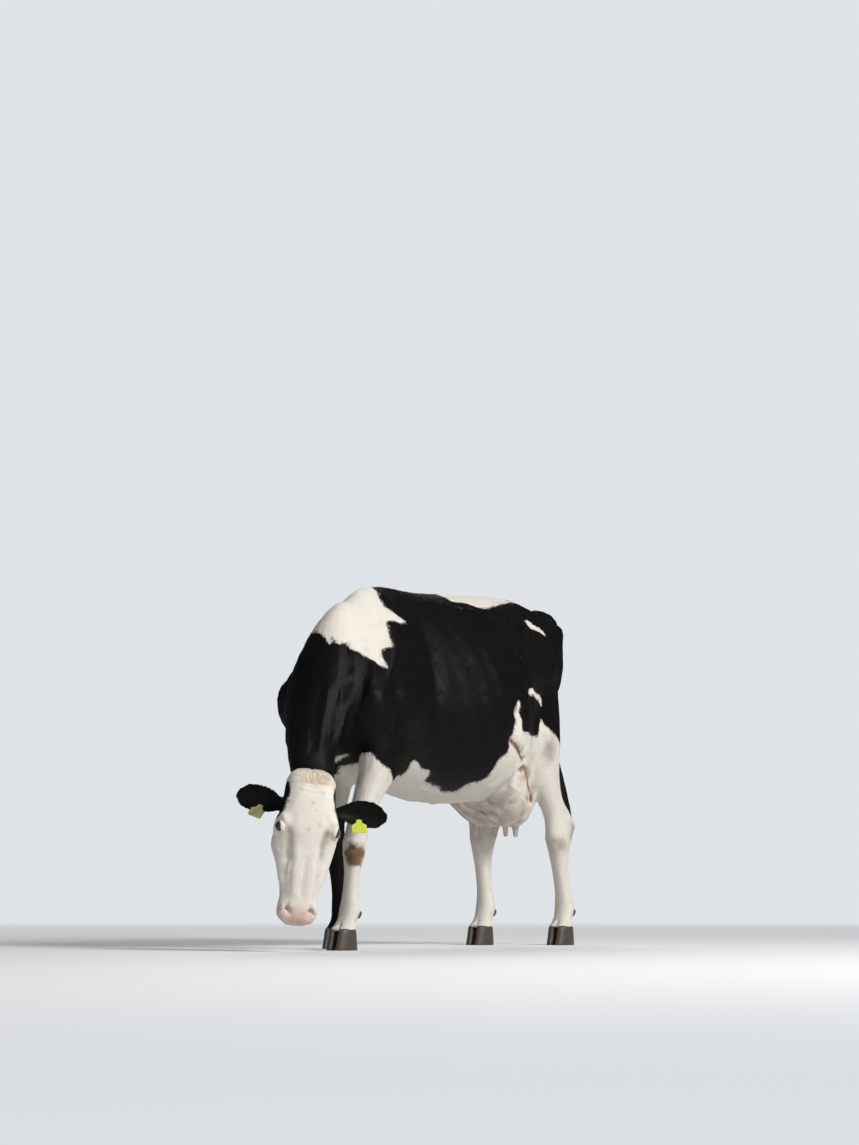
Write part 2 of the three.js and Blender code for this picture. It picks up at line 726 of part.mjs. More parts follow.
function teatSolid(teat) {
  const length = UDDER_FLOOR - TEAT_TIP + 30;
  const radii = { 0: 0, 1.5: 8, 9: 11.5, 34: 13, 58: 18, [length]: 28 }; // by the height over the tip
  const heights = [0, 1.5, 9, 34, 58, length];
  const points = heights.map((height) => new THREE.Vector2(radii[height], height));
  points.push(new THREE.Vector2(0, length));
  const shape = new THREE.LatheGeometry(points, TEAT_CORNERS);
  shape.rotateX(Math.PI / 2);
  shape.translate(teat.x, teat.y, TEAT_TIP);
  return solid(shape);
}

function udderLoft() {
  const at = tracks("z", UDDER);
  const rings = [UDDER_FLOOR, 507, 520, 548, ...steps(595, 815, 4), 960].map((z) => {
    const size = at(z);
    const centre = v(0, size.y, z);
    const shape = {
      half: size.half,
      over: size.behind,
      under: size.before,
      overPower: size.power,
      underPower: size.power,
    };
    const cleft = [mound(v(0, size.y, UDDER_FLOOR), v(26, 300, 60), -9)];
    return ring(centre, X, Y, shape, UDDER_CORNERS).map((p) => lifted(p, centre, cleft));
  });
  const bag = solid(loft(rings));
  return TEATS.reduce((body, teat) => body.add(teatSolid(teat)), bag);
}

// ---- Tail ---------------------------------------------------------------------------------

const tailStation = (t, x, y, z, side, deep) => ({ t, x, y, z, side, deep });
const TAIL = [
  tailStation(0, 0, 1060, 1404, 34, 30),
  tailStation(1, 0, 1166, 1418, 35, 31),
  tailStation(2, 2, 1254, 1402, 34, 30),
  tailStation(3, 6, 1286, 1336, 30, 28),
  tailStation(4, 9, 1268, 1240, 23, 22),
  tailStation(5, 10, 1246, 1110, 20, 19),
  tailStation(6, 15, 1244, 980, 18, 17),
  tailStation(7, 23, 1250, 860, 18, 17),
  tailStation(8, 31, 1256, 780, 24, 22),
  tailStation(9, 42, 1266, 700, 30, 28),
  tailStation(10, 54, 1276, 620, 29, 27),
  tailStation(11, 65, 1284, 560, 21, 19),
  tailStation(12, 71, 1288, 516, 5, 5),
];
const SWITCH_FROM = 7.3;
const TAIL_END = TAIL.at(-1).t;

function tailLoft(from, to, count) {
  const at = tracks("t", TAIL);
  const point = (t) => v(at(t).x, at(t).y, at(t).z);
  const rings = steps(from, to, count).map((t) => {
    const size = at(t);
    const ahead = point(Math.min(t + 0.05, TAIL_END)).sub(point(Math.max(t - 0.05, 0))).normalize();
    const rise = v(0, Math.max(-ahead.z, 0), Math.max(ahead.y, 0));
    rise.addScaledVector(ahead, -rise.dot(ahead)).normalize();
    const side = rise.clone().cross(ahead).normalize();
    const shape = { half: size.side, over: size.deep, under: size.deep, overPower: 2, underPower: 2 };
    return ring(point(t), side, rise, shape, TAIL_CORNERS);
  });
  return solid(loft(rings));
}

// ---- The animal ---------------------------------------------------------------------------

const cow = new THREE.Group();
cow.name = "cow";
const body = new THREE.Group();
cow.add(body);
const head = new THREE.Group();
body.add(head);

function addMesh(parent, name, manifold, look) {
  const mesh = new THREE.Mesh(geometryOf(manifold), new THREE.MeshStandardMaterial(look));
  mesh.name = name;
  parent.add(mesh);
}

// The head's frame: its X axis is the cow's left, its Z axis runs from the muzzle to the poll
function headFrame() {
  const facing = v(Math.sin(HEAD_YAW), -Math.cos(HEAD_YAW), 0);
  const level = v(Math.cos(HEAD_YAW), Math.sin(HEAD_YAW), 0);
  const up = Z.clone().multiplyScalar(Math.cos(HEAD_TILT));
  up.addScaledVector(facing, -Math.sin(HEAD_TILT));
  const left = level.clone().multiplyScalar(Math.cos(HEAD_ROLL));
  left.addScaledVector(up, -Math.sin(HEAD_ROLL));
  const toPoll = up.multiplyScalar(Math.cos(HEAD_ROLL)).addScaledVector(level, Math.sin(HEAD_ROLL));
  const back = toPoll.clone().cross(left);
  return new THREE.Matrix4().makeBasis(left, back, toPoll).setPosition(POLL);
}

const moved = (manifold, matrix) => solid(geometryOf(manifold).applyMatrix4(matrix));

const toBody = headFrame();
const toHead = toBody.clone().invert();
toBody.decompose(head.position, head.quaternion, head.scale);

const trunk = trunkLoft();
const trunkGap = trunkLoft(GAP);
const headWhole = headLoft();
const headGap = headLoft(GAP);

addMesh(body, "trunk", trunk, BLACK_COAT);
addMesh(body, "neck", without(neckLoft(), trunkGap, moved(headGap, toBody)), BLACK_COAT);

const legGaps = new Map();
for (const leg of LEGS) {
  const isWhite = leg.name !== "foreleg_right";
  addMesh(body, leg.name, without(legLoft(leg), trunkGap), isWhite ? WHITE_COAT : BLACK_COAT);
  legGaps.set(leg.name, legLoft(leg, GAP));
  for (const [place, inner] of [["outer", false], ["inner", true]]) {
    const claw = without(clawGeometry(leg, inner), clawSlot(leg));
    addMesh(body, `claw_${leg.name.replace("leg", "")}_${place}`, claw, HORN);
    const dewclaw = without(dewclawGeometry(leg, inner), legGaps.get(leg.name));
    addMesh(body, `dewclaw_${leg.name.replace("leg", "")}_${place}`, dewclaw, HORN);
  }
}

const thighs = [legGaps.get("hindleg_left"), legGaps.get("hindleg_right")];
addMesh(body, "udder", without(udderLoft(), trunkGap, ...thighs), UDDER_SKIN);

const tailCut = GAP / 60; // the tail's stations stand more than 60 apart
addMesh(body, "tail", without(tailLoft(0, SWITCH_FROM, 18), trunkGap), BLACK_COAT);
addMesh(body, "tail_switch", tailLoft(SWITCH_FROM + tailCut, TAIL_END, 11), BLACK_COAT);

// The head's pieces, in its own frame
const sockets = [eyeGeometry(LEFT, GAP), eyeGeometry(RIGHT, GAP)];
const withoutJaw = without(headWhole, jawBlock(MOUTH_GAP), ...sockets);
addMesh(head, "head", withoutJaw, WHITE_COAT);
addMesh(head, "jaw", largest(headWhole.intersect(jawBlock(0))), WHITE_COAT);
for (const [name, ear] of Object.entries(EARS)) {
  const frame = earFrame(ear);
  const tagPlace = frame.clone().multiply(tagFrame);
  const shape = without(moved(earLoft(), frame), headGap, moved(tagLoft(GAP), tagPlace));
  addMesh(head, `ear_${name}`, shape, BLACK_COAT);
  addMesh(head, `tag_${name}`, moved(tagLoft(), tagPlace), TAG);
  addMesh(head, `eye_${name}`, eyeGeometry(ear.side), EYE);
}

// The origin is the middle of the footprint, on the ground
cow.updateMatrixWorld(true);
const box = new THREE.Box3().setFromObject(cow, true);
const middle = box.getCenter(new THREE.Vector3());
body.position.set(-middle.x, -middle.y, -box.min.z);

export default cow;
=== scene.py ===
"""A life-size still model of a grazing Holstein cow: one skin, its coat, and what it wears."""

import logging
import math
from dataclasses import dataclass, field
from enum import Enum
from typing import Callable, Sequence

import bmesh
import bpy
import numpy as np
from mathutils import Matrix, Vector
from mathutils.bvhtree import BVHTree
from mathutils.kdtree import KDTree


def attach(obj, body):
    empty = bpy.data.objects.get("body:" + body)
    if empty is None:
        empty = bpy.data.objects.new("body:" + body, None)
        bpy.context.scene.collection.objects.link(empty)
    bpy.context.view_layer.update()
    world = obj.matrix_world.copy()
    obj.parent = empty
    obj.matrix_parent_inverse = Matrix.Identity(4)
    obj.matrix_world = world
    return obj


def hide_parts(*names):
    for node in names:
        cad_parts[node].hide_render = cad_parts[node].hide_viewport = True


Array = np.ndarray
Material = bpy.types.Material
Mesh = bpy.types.Mesh
Object = bpy.types.Object
Shape = bmesh.types.BMesh
Point = tuple[float, float, float]
Flat = tuple[float, float]

log = logging.getLogger("cow")

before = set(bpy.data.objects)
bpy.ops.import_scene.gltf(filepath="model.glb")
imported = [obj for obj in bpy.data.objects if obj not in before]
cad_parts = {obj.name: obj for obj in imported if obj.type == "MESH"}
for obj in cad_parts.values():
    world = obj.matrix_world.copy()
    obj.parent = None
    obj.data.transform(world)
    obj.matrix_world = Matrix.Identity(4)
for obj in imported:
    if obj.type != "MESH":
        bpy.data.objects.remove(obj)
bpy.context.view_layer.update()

# ---- Where things are
WITHERS_Y = -0.221  # the top of the withers in the row frame
BODY = "root"
UP = np.array((0.0, 0.0, 1.0))
SEED = 41

FLESH = (
    "trunk", "neck", "head", "jaw", "ear_left", "ear_right", "foreleg_left", "foreleg_right",
    "hindleg_left", "hindleg_right", "udder", "tail", "tail_switch",
)


class Side(Enum):
    """The cow's own sides; the value is the sign of X."""

    LEFT = 1
    RIGHT = -1


class Leg(Enum):
    """The legs: the sign of X, how far back the foot is stepped, and the height it leans about."""

    FORE_LEFT = (1, -0.165, 1.6)
    FORE_RIGHT = (-1, 0.13, 1.6)
    HIND_LEFT = (1, 0.098, 1.17)
    HIND_RIGHT = (-1, -0.094, 1.17)

    @property
    def is_fore(self) -> bool:
        """Whether this is a front leg."""
        return self in (Leg.FORE_LEFT, Leg.FORE_RIGHT)

    def out(self, x: float, y: float, z: float) -> Array:
        """A point of the leg in the row frame, from its place on an even, left leg."""
        sign, step, hip = self.value
        return place(sign * x, y + step * min(max((hip - z) / hip, 0.0), 1.0), z)


def place(x: float, y: float, z: float) -> Array:
    """A point `y` metres behind the top of the withers, in the row frame."""
    return np.array((x, y + WITHERS_Y, z))


def places(*points: Point) -> list[Array]:
    """Several such points."""
    return [place(*point) for point in points]


def mirrored(points: Sequence[Array]) -> list[Array]:
    """The same points on the cow's other side."""
    return [point * np.array((-1.0, 1.0, 1.0)) for point in points]


@dataclass(frozen=True)
class HeadFrame:
    """How the head is held: its own X is the cow's left, -Y the face and -Z the muzzle."""

    poll: Point = (0.158, -0.714, 0.668)
    yaw: float = math.radians(47)
    tilt: float = math.radians(7)
    roll: float = math.radians(7.2)

    def basis(self) -> Array:
        """The head's three axes in the row frame.

        Returns:
            As columns: left, behind the face, and towards the poll.
        """
        facing = np.array((math.sin(self.yaw), -math.cos(self.yaw), 0))
        level = np.array((math.cos(self.yaw), math.sin(self.yaw), 0))
        up = UP * math.cos(self.tilt) - facing * math.sin(self.tilt)
        left = level * math.cos(self.roll) - up * math.sin(self.roll)
        to_poll = up * math.cos(self.roll) + level * math.sin(self.roll)
        return np.column_stack((left, np.cross(to_poll, left), to_poll))

    def out(self, left: float, down: float, forward: float) -> Array:
        """A point of the head in the row frame.

        Args:
            left: towards the cow's left.
            down: from the poll towards the muzzle.
            forward: before the head's axis.

        Returns:
            The point.
        """
        return place(*self.poll) + self.basis() @ np.array((left, -forward, -down))

    def way(self, left: float, down: float, forward: float) -> Array:
        """A direction of the head in the row frame."""
        return self.basis() @ np.array((left, -forward, -down))

    def into(self, points: Array) -> Array:
        """Row-frame points as (left, down, forward) of the head."""
        local = (points - place(*self.poll)) @ self.basis()
        return np.column_stack((local[:, 0], -local[:, 2], -local[:, 1]))


HEAD = HeadFrame()


@dataclass(frozen=True)
class EarFrame:
    """How one ear grows out of the head."""

    side: Side
    root: Point
    sweep: float
    hang: float

    def basis(self) -> Array:
        """The ear's axes in the head's frame as columns: along it, behind it, up its edge."""
        turn = Matrix.Rotation(-self.sweep, 3, "Z") @ Matrix.Rotation(self.hang, 3, "Y")
        return np.diag((float(self.side.value), 1.0, 1.0)) @ np.array(turn)

    def out(self, along: float, behind: float, up: float) -> Array:
        """A point of the ear in the row frame."""
        left, down, forward = self.root
        local = np.array((left, -forward, -down)) + self.basis() @ np.array((along, behind, up))
        return place(*HEAD.poll) + HEAD.basis() @ local

    def into(self, points: Array) -> Array:
        """Row-frame points as (along, behind, up) of the ear."""
        left, down, forward = self.root
        local = (points - place(*HEAD.poll)) @ HEAD.basis() - np.array((left, -forward, -down))
        return local @ self.basis()

    def way(self, along: float, behind: float, up: float) -> Array:
        """A direction of the ear in the row frame."""
        return HEAD.basis() @ self.basis() @ np.array((along, behind, up))


EARS = (
    EarFrame(Side.LEFT, (0.103, 0.132, -0.012), math.radians(6), math.radians(-7)),
    EarFrame(Side.RIGHT, (-0.086, 0.133, -0.016), math.radians(-28), math.radians(-18)),
)


# ---- Small tools


def read_points(mesh: Mesh) -> Array:
    """A mesh's vertices as an array."""
    out = np.empty(len(mesh.vertices) * 3, np.float32)
    mesh.vertices.foreach_get("co", out)
    return out.reshape(-1, 3).astype(np.float64)


def read_edges(mesh: Mesh) -> Array:
    """The two vertices of each of a mesh's edges."""
    out = np.empty(len(mesh.edges) * 2, np.int32)
    mesh.edges.foreach_get("vertices", out)
    return out.reshape(-1, 2)


def write_points(mesh: Mesh, points: Array) -> None:
    """Moves a mesh's vertices."""
    mesh.vertices.foreach_set("co", points.astype(np.float32).ravel())
    mesh.update()


def shade_smooth(mesh: Mesh) -> None:
    """Shades all of a mesh's faces smooth."""
    mesh.polygons.foreach_set("use_smooth", np.ones(len(mesh.polygons), bool))


def finished(shape: Shape, name: str) -> Mesh:
    """A new mesh from a shape.

    Args:
        shape: the shape, which is freed.
        name: the mesh's name.

    Returns:
        The mesh.
    """
    mesh = bpy.data.meshes.new(name)
    shape.to_mesh(mesh)
    shape.free()
    return mesh


def merged(node: str) -> Shape:
    """A copy of a CAD node's mesh with its doubles merged.

    Args:
        node: the CAD node.

    Returns:
        The copy.
    """
    shape = bmesh.new()
    shape.from_mesh(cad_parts[node].data)
    bmesh.ops.remove_doubles(shape, verts=shape.verts, dist=2e-5)
    return shape


def creased(node: str, crease: Callable[[bmesh.types.BMEdge], float]) -> Shape:
    """A merged CAD node with larger faces, ready to be subdivided.

    Args:
        node: the CAD node.
        crease: how sharp an edge between two faces stays, from 0 to 1.

    Returns:
        The shape, with its creases set.
    """
    shape = merged(node)
    bmesh.ops.join_triangles(
        shape, faces=shape.faces, angle_face_threshold=0.7, angle_shape_threshold=1.0
    )
    layer = shape.edges.layers.float.new("crease_edge")
    for edge in shape.edges:
        if len(edge.link_faces) == 2:
            edge[layer] = crease(edge)
    return shape


def subdivided(shape: Shape, name: str) -> Mesh:
    """Rounds a shape by two subdivisions.

    Args:
        shape: the shape, which is freed.
        name: the mesh's name.

    Returns:
        The mesh.
    """
    thing = link(name, finished(shape, name))
    rounding = thing.modifiers.new("round", "SUBSURF")
    rounding.levels = rounding.render_levels = 2
    return settle(thing)


def divide(shape: Shape, edges: Sequence[bmesh.types.BMEdge]) -> None:
    """Halves the edges and leaves only triangles."""
    bmesh.ops.subdivide_edges(shape, edges=edges, cuts=1, use_grid_fill=False)
    bmesh.ops.triangulate(shape, faces=[face for face in shape.faces if len(face.verts) > 3])


def link(name: str, mesh: Mesh) -> Object:
    """A new object that holds the mesh."""
    thing = bpy.data.objects.new(name, mesh)
    bpy.context.scene.collection.objects.link(thing)
    return thing


def settle(thing: Object) -> Mesh:
    """Applies an object's modifiers.

    Args:
        thing: the object, which is removed.

    Returns:
        Its mesh.
    """
    graph = bpy.context.evaluated_depsgraph_get()
    graph.update()
    mesh = bpy.data.meshes.new_from_object(thing.evaluated_get(graph))
    bpy.data.objects.remove(thing)
    return mesh


def bell(away: Array) -> Array:
    """1 at 0, falling smoothly to nothing past 2."""
    return np.exp(-away * away)


def rise(values: Array, low: float, high: float) -> Array:
    """0 below `low`, 1 above `high`, smooth between."""
    t = np.clip((values - low) / (high - low), 0, 1)
    return t * t * (3 - 2 * t)


def unit(vectors: Array) -> Array:
    """The vectors at length 1."""
    return vectors / np.maximum(np.linalg.norm(vectors, axis=-1, keepdims=True), 1e-9)


def ripple(points: Array, scale: float, seed: int) -> Array:
    """A smooth, seeded unevenness.

    Args:
        points: where it is read.
        scale: its coarsest wavelength in metres.
        seed: which unevenness.

    Returns:
        A number between about -1 and 1 for each point.
    """
    rng = np.random.default_rng(seed)
    total = np.zeros(len(points))
    for octave in range(3):
        for _ in range(5):
            way = unit(rng.normal(size=3)) * (2 * math.pi / scale) * (1.0 + 0.9 * octave)
            total += np.sin(points @ way + rng.uniform(0, 6.3)) / (1.4 + octave)
    return total / 4.2


def spread(mesh: Mesh, name: str, values: Array) -> None:
    """Stores a number, or a vector, for each vertex.

    Args:
        mesh: the mesh that gets the attribute.
        name: the attribute's name.
        values: one row for each vertex.
    """
    flat = values.ndim == 1
    layer = mesh.attributes.new(name, "FLOAT" if flat else "FLOAT_VECTOR", "POINT")
    layer.data.foreach_set("value" if flat else "vector", values.astype(np.float32).ravel())


@dataclass
class Surface:
    """A closed mesh as arrays, for smoothing and modelling strokes."""

    points: Array
    mesh: Mesh
    starts: Array = field(init=False)
    others: Array = field(init=False)
    counts: Array = field(init=False)

    def __post_init__(self) -> None:
        """Lists each vertex's neighbours, sorted by vertex."""
        pairs = read_edges(self.mesh)
        both = np.vstack((pairs, pairs[:, ::-1]))
        both = both[np.argsort(both[:, 0], kind="stable")]
        self.others = both[:, 1]
        self.counts = np.bincount(both[:, 0], minlength=len(self.points)).astype(np.float64)
        self.starts = np.searchsorted(both[:, 0], np.arange(len(self.points)))

    @classmethod
    def of(cls, mesh: Mesh) -> "Surface":
        """The surface of a mesh."""
        return cls(read_points(mesh), mesh)

    def average(self, values: Array) -> Array:
        """The mean of each vertex's neighbours."""
        total = np.add.reduceat(values[self.others], self.starts, axis=0)
        return total / (self.counts[:, None] if values.ndim == 2 else self.counts)

    def smooth(self, weight: Array, rounds: int) -> None:
        """Relaxes the surface where `weight` is high.

        Args:
            weight: 0 to 1 for each vertex.
            rounds: how many times.
        """
        share = weight[:, None]
        for _ in range(rounds):
            self.points += (self.average(self.points) - self.points) * share

    def normals(self) -> Array:
        """Unit normals at the vertices."""
        self.store()
        out = np.empty(len(self.points) * 3, np.float32)
        self.mesh.vertex_normals.foreach_get("vector", out)
        return out.reshape(-1, 3).astype(np.float64)

    def store(self) -> None:
        """Writes the points back to the mesh."""
        write_points(self.mesh, self.points)


@dataclass(frozen=True)
class Stroke:
    """A ridge, or with a negative lift a groove, along a line over the surface."""

    line: Sequence[Array]
    width: float
    lift: float

    def lifts(self, points: Array) -> Array:
        """How far the stroke lifts each point.

        Args:
            points: places on or near the surface.

        Returns:
            The lifts; they fade over about twice the width.
        """
        out = np.zeros(len(points))
        line = np.array(self.line)
        margin = 2.6 * self.width
        near = np.all((points > line.min(0) - margin) & (points < line.max(0) + margin), axis=1)
        close = points[near]
        if not len(close):
            return out
        away = np.full(len(close), np.inf)
        for start, end in zip(line[:-1], line[1:]):
            run = end - start
            t = np.clip(((close - start) @ run) / max(run @ run, 1e-12), 0, 1)
            away = np.minimum(away, np.linalg.norm(close - start - t[:, None] * run, axis=1))
        out[near] = self.lift * bell(away / self.width)
        return out


STEP = 0.015  # how closely a line is laid on the surface


def on_surface(line: Sequence[Array], points: Array, reach: float = 0.06) -> list[Array]:
    """The line in short steps, each laid on the nearest of the points.

    Args:
        line: its corners.
        points: the surface.
        reach: how far a step may be moved.

    Returns:
        The steps; one that nothing is near stays where it is.
    """
    corners = np.array(line)
    low, high = corners.min(0) - reach, corners.max(0) + reach
    near = points[np.all((points > low) & (points < high), axis=1)]
    steps = [corners[0]]
    for start, end in zip(corners[:-1], corners[1:]):
        count = max(1, math.ceil(np.linalg.norm(end - start) / STEP))
        steps += [start + (end - start) * (i + 1) / count for i in range(count)]
    laid = []
    for step in steps:
        away = np.linalg.norm(near - step, axis=1) if len(near) else np.array((np.inf,))
        closest = int(away.argmin())
        laid.append(near[closest] if away[closest] < reach else step)
    return laid


def drawn(out: Callable[[float, float, float], Array], *rows: tuple) -> list[Stroke]:
    """Strokes from rows that each hold a width, a lift and the line's corners.

    Args:
        out: turns a corner into a point of the row frame.
        rows: one for each stroke; one with a single corner is a round bump or hollow.

    Returns:
        The strokes, in the rows' order.
    """
    strokes = []
    for width, lift, *corners in rows:
        line = [out(*corner) for corner in corners]
        if len(line) == 1:
            line.append(line[0] + np.array((0, 0, 1e-4)))
        strokes.append(Stroke(line, width, lift))
    return strokes


# ---- Finishes


@dataclass(frozen=True)
class Tint:
    """A colour in linear light."""

    red: float
    green: float
    blue: float

    @property
    def rgba(self) -> tuple[float, float, float, float]:
        """The colour with full alpha."""
        return (self.red, self.green, self.blue, 1.0)


@dataclass(frozen=True)
class CoatFinish:
    """The colours of the coat and of the skin where it shows."""

    black: Tint = Tint(0.0034, 0.003, 0.0029)
    black_tip: Tint = Tint(0.0085, 0.0072, 0.0064)
    white: Tint = Tint(0.8, 0.76, 0.69)
    white_deep: Tint = Tint(0.62, 0.57, 0.5)
    pink: Tint = Tint(0.6, 0.4, 0.33)
    brown: Tint = Tint(0.17, 0.085, 0.038)
    grey: Tint = Tint(0.27, 0.235, 0.205)
    cream: Tint = Tint(0.82, 0.73, 0.57)
    black_roughness: float = 0.42
    white_roughness: float = 0.62


@dataclass(frozen=True)
class SolidFinish:
    """A plain finish: its two tones, how rough it is, its clear coat and whether it has rings."""

    name: str
    base: Tint
    other: Tint
    roughness: float
    coat: float = 0.0
    has_rings: bool = False


COAT = CoatFinish()
CLAW_HORN = SolidFinish(
    "claw_horn", Tint(0.032, 0.025, 0.02), Tint(0.085, 0.064, 0.047), 0.5, 0.05, True
)
TAG_PLASTIC = SolidFinish("tag_plastic", Tint(0.56, 0.63, 0.05), Tint(0.48, 0.54, 0.05), 0.42)
# The right ear's tag: the same tag, darkened with painted shade
TAG_PAINTED_SHADE = SolidFinish("tag_faded", Tint(0.26, 0.25, 0.1), Tint(0.18, 0.17, 0.08), 0.55)
EYE_FINISH = SolidFinish("eye", Tint(0.008, 0.005, 0.004), Tint(0.028, 0.014, 0.008), 0.12, 0.35)
PUPIL = Tint(0.004, 0.004, 0.005)
LID_RIM = SolidFinish("lid_rim", Tint(0.045, 0.032, 0.028), Tint(0.085, 0.055, 0.046), 0.45, 0.1)
FLOOR = SolidFinish("pale_floor", Tint(0.8, 0.8, 0.79), Tint(0.8, 0.8, 0.79), 0.7)


class Shade:
    """A shader socket that can be calculated with like a number."""

    def __init__(self, tree: "Tree", socket: bpy.types.NodeSocket) -> None:
        """Wraps one output socket of a tree."""
        self.tree = tree
        self.socket = socket

    def _math(self, operation: str, *values: "Shade | float") -> "Shade":
        """A maths node over these values."""
        return self.tree.node("ShaderNodeMath", {"operation": operation}, *values)

    def __add__(self, other: "Shade | float") -> "Shade":
        """The sum."""
        return self._math("ADD", self, other)

    __radd__ = __add__

    def __sub__(self, other: "Shade | float") -> "Shade":
        """The difference."""
        return self._math("SUBTRACT", self, other)

    def __rsub__(self, other: "Shade | float") -> "Shade":
        """The difference from a number."""
        return self._math("SUBTRACT", other, self)

    def __mul__(self, other: "Shade | float") -> "Shade":
        """The product."""
        return self._math("MULTIPLY", self, other)

    __rmul__ = __mul__

    def rise(self, low: float, high: float) -> "Shade":
        """0 below `low`, 1 above `high`, smooth between."""
        settings = {"interpolation_type": "SMOOTHSTEP"}
        return self.tree.node("ShaderNodeMapRange", settings, self, low, high, 0.0, 1.0)


class Tree:
    """The nodes of a material or a world."""

    def __init__(self, owner: Material | bpy.types.World) -> None:
        """Empties the owner's nodes.

        Args:
            owner: the material or the world.
        """
        owner.use_nodes = True
        self.owner = owner
        self.nodes = owner.node_tree.nodes
        self.links = owner.node_tree.links
        self.nodes.clear()

    @classmethod
    def named(cls, name: str) -> "Tree":
        """The nodes of a new material."""
        return cls(bpy.data.materials.new(name))

    def node(self, kind: str, settings: dict, *inputs: object, out: object = 0) -> Shade:
        """Adds a node.

        Args:
            kind: the node's type.
            settings: its properties.
            inputs: what goes into its enabled inputs, in order.
            out: an output, by its place among the enabled ones or its name.

        Returns:
            That output.
        """
        node = self.nodes.new(kind)
        for key, value in settings.items():
            setattr(node, key, value)
        sockets = [socket for socket in node.inputs if socket.enabled]
        for socket, value in zip(sockets, inputs):
            self.feed(socket, value)
        if isinstance(out, str):
            return Shade(self, node.outputs[out])
        return Shade(self, [socket for socket in node.outputs if socket.enabled][out])

    def feed(self, socket: bpy.types.NodeSocket, value: object) -> None:
        """Links a shade to an input, or sets the input's own value.

        Args:
            socket: the input.
            value: a shade, a tint or a number.
        """
        if isinstance(value, Shade):
            self.links.new(value.socket, socket)
        elif isinstance(value, Tint):
            socket.default_value = value.rgba
        else:
            socket.default_value = value

    def read(self, name: str, vector: bool = False) -> Shade:
        """An attribute of the mesh."""
        out = "Vector" if vector else "Fac"
        return self.node("ShaderNodeAttribute", {"attribute_name": name}, out=out)

    def place(self) -> Shade:
        """The Object coordinates."""
        return self.node("ShaderNodeTexCoord", {}, out="Object")

    def noise(self, at: Shade, scale: float, detail: float = 2.0, rough: float = 0.5) -> Shade:
        """A noise between 0 and 1."""
        return self.node("ShaderNodeTexNoise", {}, at, scale, detail, rough)

    def mix(self, share: "Shade | float", first: object, second: object) -> Shade:
        """Blends two colours."""
        return self.node("ShaderNodeMix", {"data_type": "RGBA"}, share, first, second)

    def bump(self, height: Shade, strength: float, distance: float) -> Shade:
        """A bump from a height.

        Args:
            height: the relief.
            strength: how much of it shows.
            distance: how deep it is, in metres.

        Returns:
            The normal.
        """
        node = self.nodes.new("ShaderNodeBump")
        node.inputs["Strength"].default_value = strength
        node.inputs["Distance"].default_value = distance
        self.feed(node.inputs["Height"], height)
        return Shade(self, node.outputs["Normal"])

    def principled(self, **inputs: object) -> Shade:
        """A Principled shader.

        Args:
            inputs: its sockets by name, with _ for spaces.

        Returns:
            The shader.
        """
        node = self.nodes.new("ShaderNodeBsdfPrincipled")
        for key, value in inputs.items():
            self.feed(node.inputs[key.replace("_", " ")], value)
        return Shade(self, node.outputs["BSDF"])

    def end(self, shader: Shade) -> Material | bpy.types.World:
        """Adds the output.

        Args:
            shader: what it shows.

        Returns:
            The finished material or world.
        """
        kind = "World" if isinstance(self.owner, bpy.types.World) else "Material"
        output = self.nodes.new("ShaderNodeOutput" + kind)
        self.links.new(shader.socket, output.inputs["Surface"])
        return self.owner

    def surface(self, **inputs: object) -> Material:
        """A finished material with one Principled shader."""
        return self.end(self.principled(**inputs))


def solid_material(finish: SolidFinish) -> Material:
    """A plain material with a slight, even variation of tone, or with rings of growth.

    Args:
        finish: its colours and gloss.

    Returns:
        The material.
    """
    tree = Tree.named(finish.name)
    inputs = {"Roughness": finish.roughness, "Coat_Weight": finish.coat}
    if finish.has_rings:
        rings = tree.read("grow") * 75.0
        tone = tree.node("ShaderNodeTexNoise", {"noise_dimensions": "1D"}, rings)
        inputs["Normal"] = tree.bump(tone, 0.35, 0.0012)
    else:
        tone = tree.noise(tree.place(), 60.0, 3.0)
    colour = tree.mix(tone.rise(0.35, 0.65), finish.base, finish.other)
    return tree.surface(Base_Color=colour, **inputs)


def coat_material(name: str, is_tuft: bool) -> Material:
    """The markings over skin or tufts; both read the same attributes.

    Args:
        name: the material's name.
        is_tuft: whether it goes on the tufts, whose roots are ragged already.

    Returns:
        The material.
    """
    tree = Tree.named(name)
    at = tree.place()
    lie = tree.read("lie", vector=True)
    streaks = tree.noise(lie, 150.0, 3.0, 0.6)
    fine = tree.noise(lie, 620.0, 2.0, 0.6)
    soft = tree.noise(at, 9.0, 2.0)
    ragged = (streaks - 0.5) * 0.012 + (fine - 0.5) * 0.006
    white = tree.read("white")
    edge = white.rise(-0.0025, 0.0025) if is_tuft else (white + ragged).rise(-0.0025, 0.0025)
    tone = tree.read("tone")
    deep = tree.mix((streaks - 0.32) * 2.2 + (soft - 0.5) * 0.5, COAT.white_deep, COAT.white)
    dark = tree.mix((streaks * 0.8 + fine * 0.4 + (tone - 0.5) * 0.6).rise(0.35, 1.05),
                    COAT.black, COAT.black_tip)
    pale = tree.mix(tone * 0.5, deep, COAT.white)
    pale = tree.mix(tree.read("cream"), pale, COAT.cream)
    pale = tree.mix(tree.read("grey"), pale, COAT.grey)
    pale = tree.mix(tree.read("brown") * (0.55 + streaks * 0.8), pale, COAT.brown)
    colour = tree.mix(edge, dark, pale)
    colour = tree.mix(tree.read("pink"), colour, COAT.pink)
    rough = (COAT.white_roughness - COAT.black_roughness) * edge + COAT.black_roughness
    rough = rough + (fine - 0.5) * 0.12
    bare = tree.read("bare")
    pores = tree.noise(at, 240.0, 2.0)
    height = (streaks * 0.6 + fine * 0.4) * (1.0 - bare) + pores * bare * 0.6
    normal = tree.bump(height, 0.35 if is_tuft else 0.55, 0.0014)
    return tree.surface(
        Base_Color=colour,
        Roughness=rough,
        Specular_IOR_Level=0.09,
        Normal=normal,
    )


# ---- The cow's form, as strokes over the skin


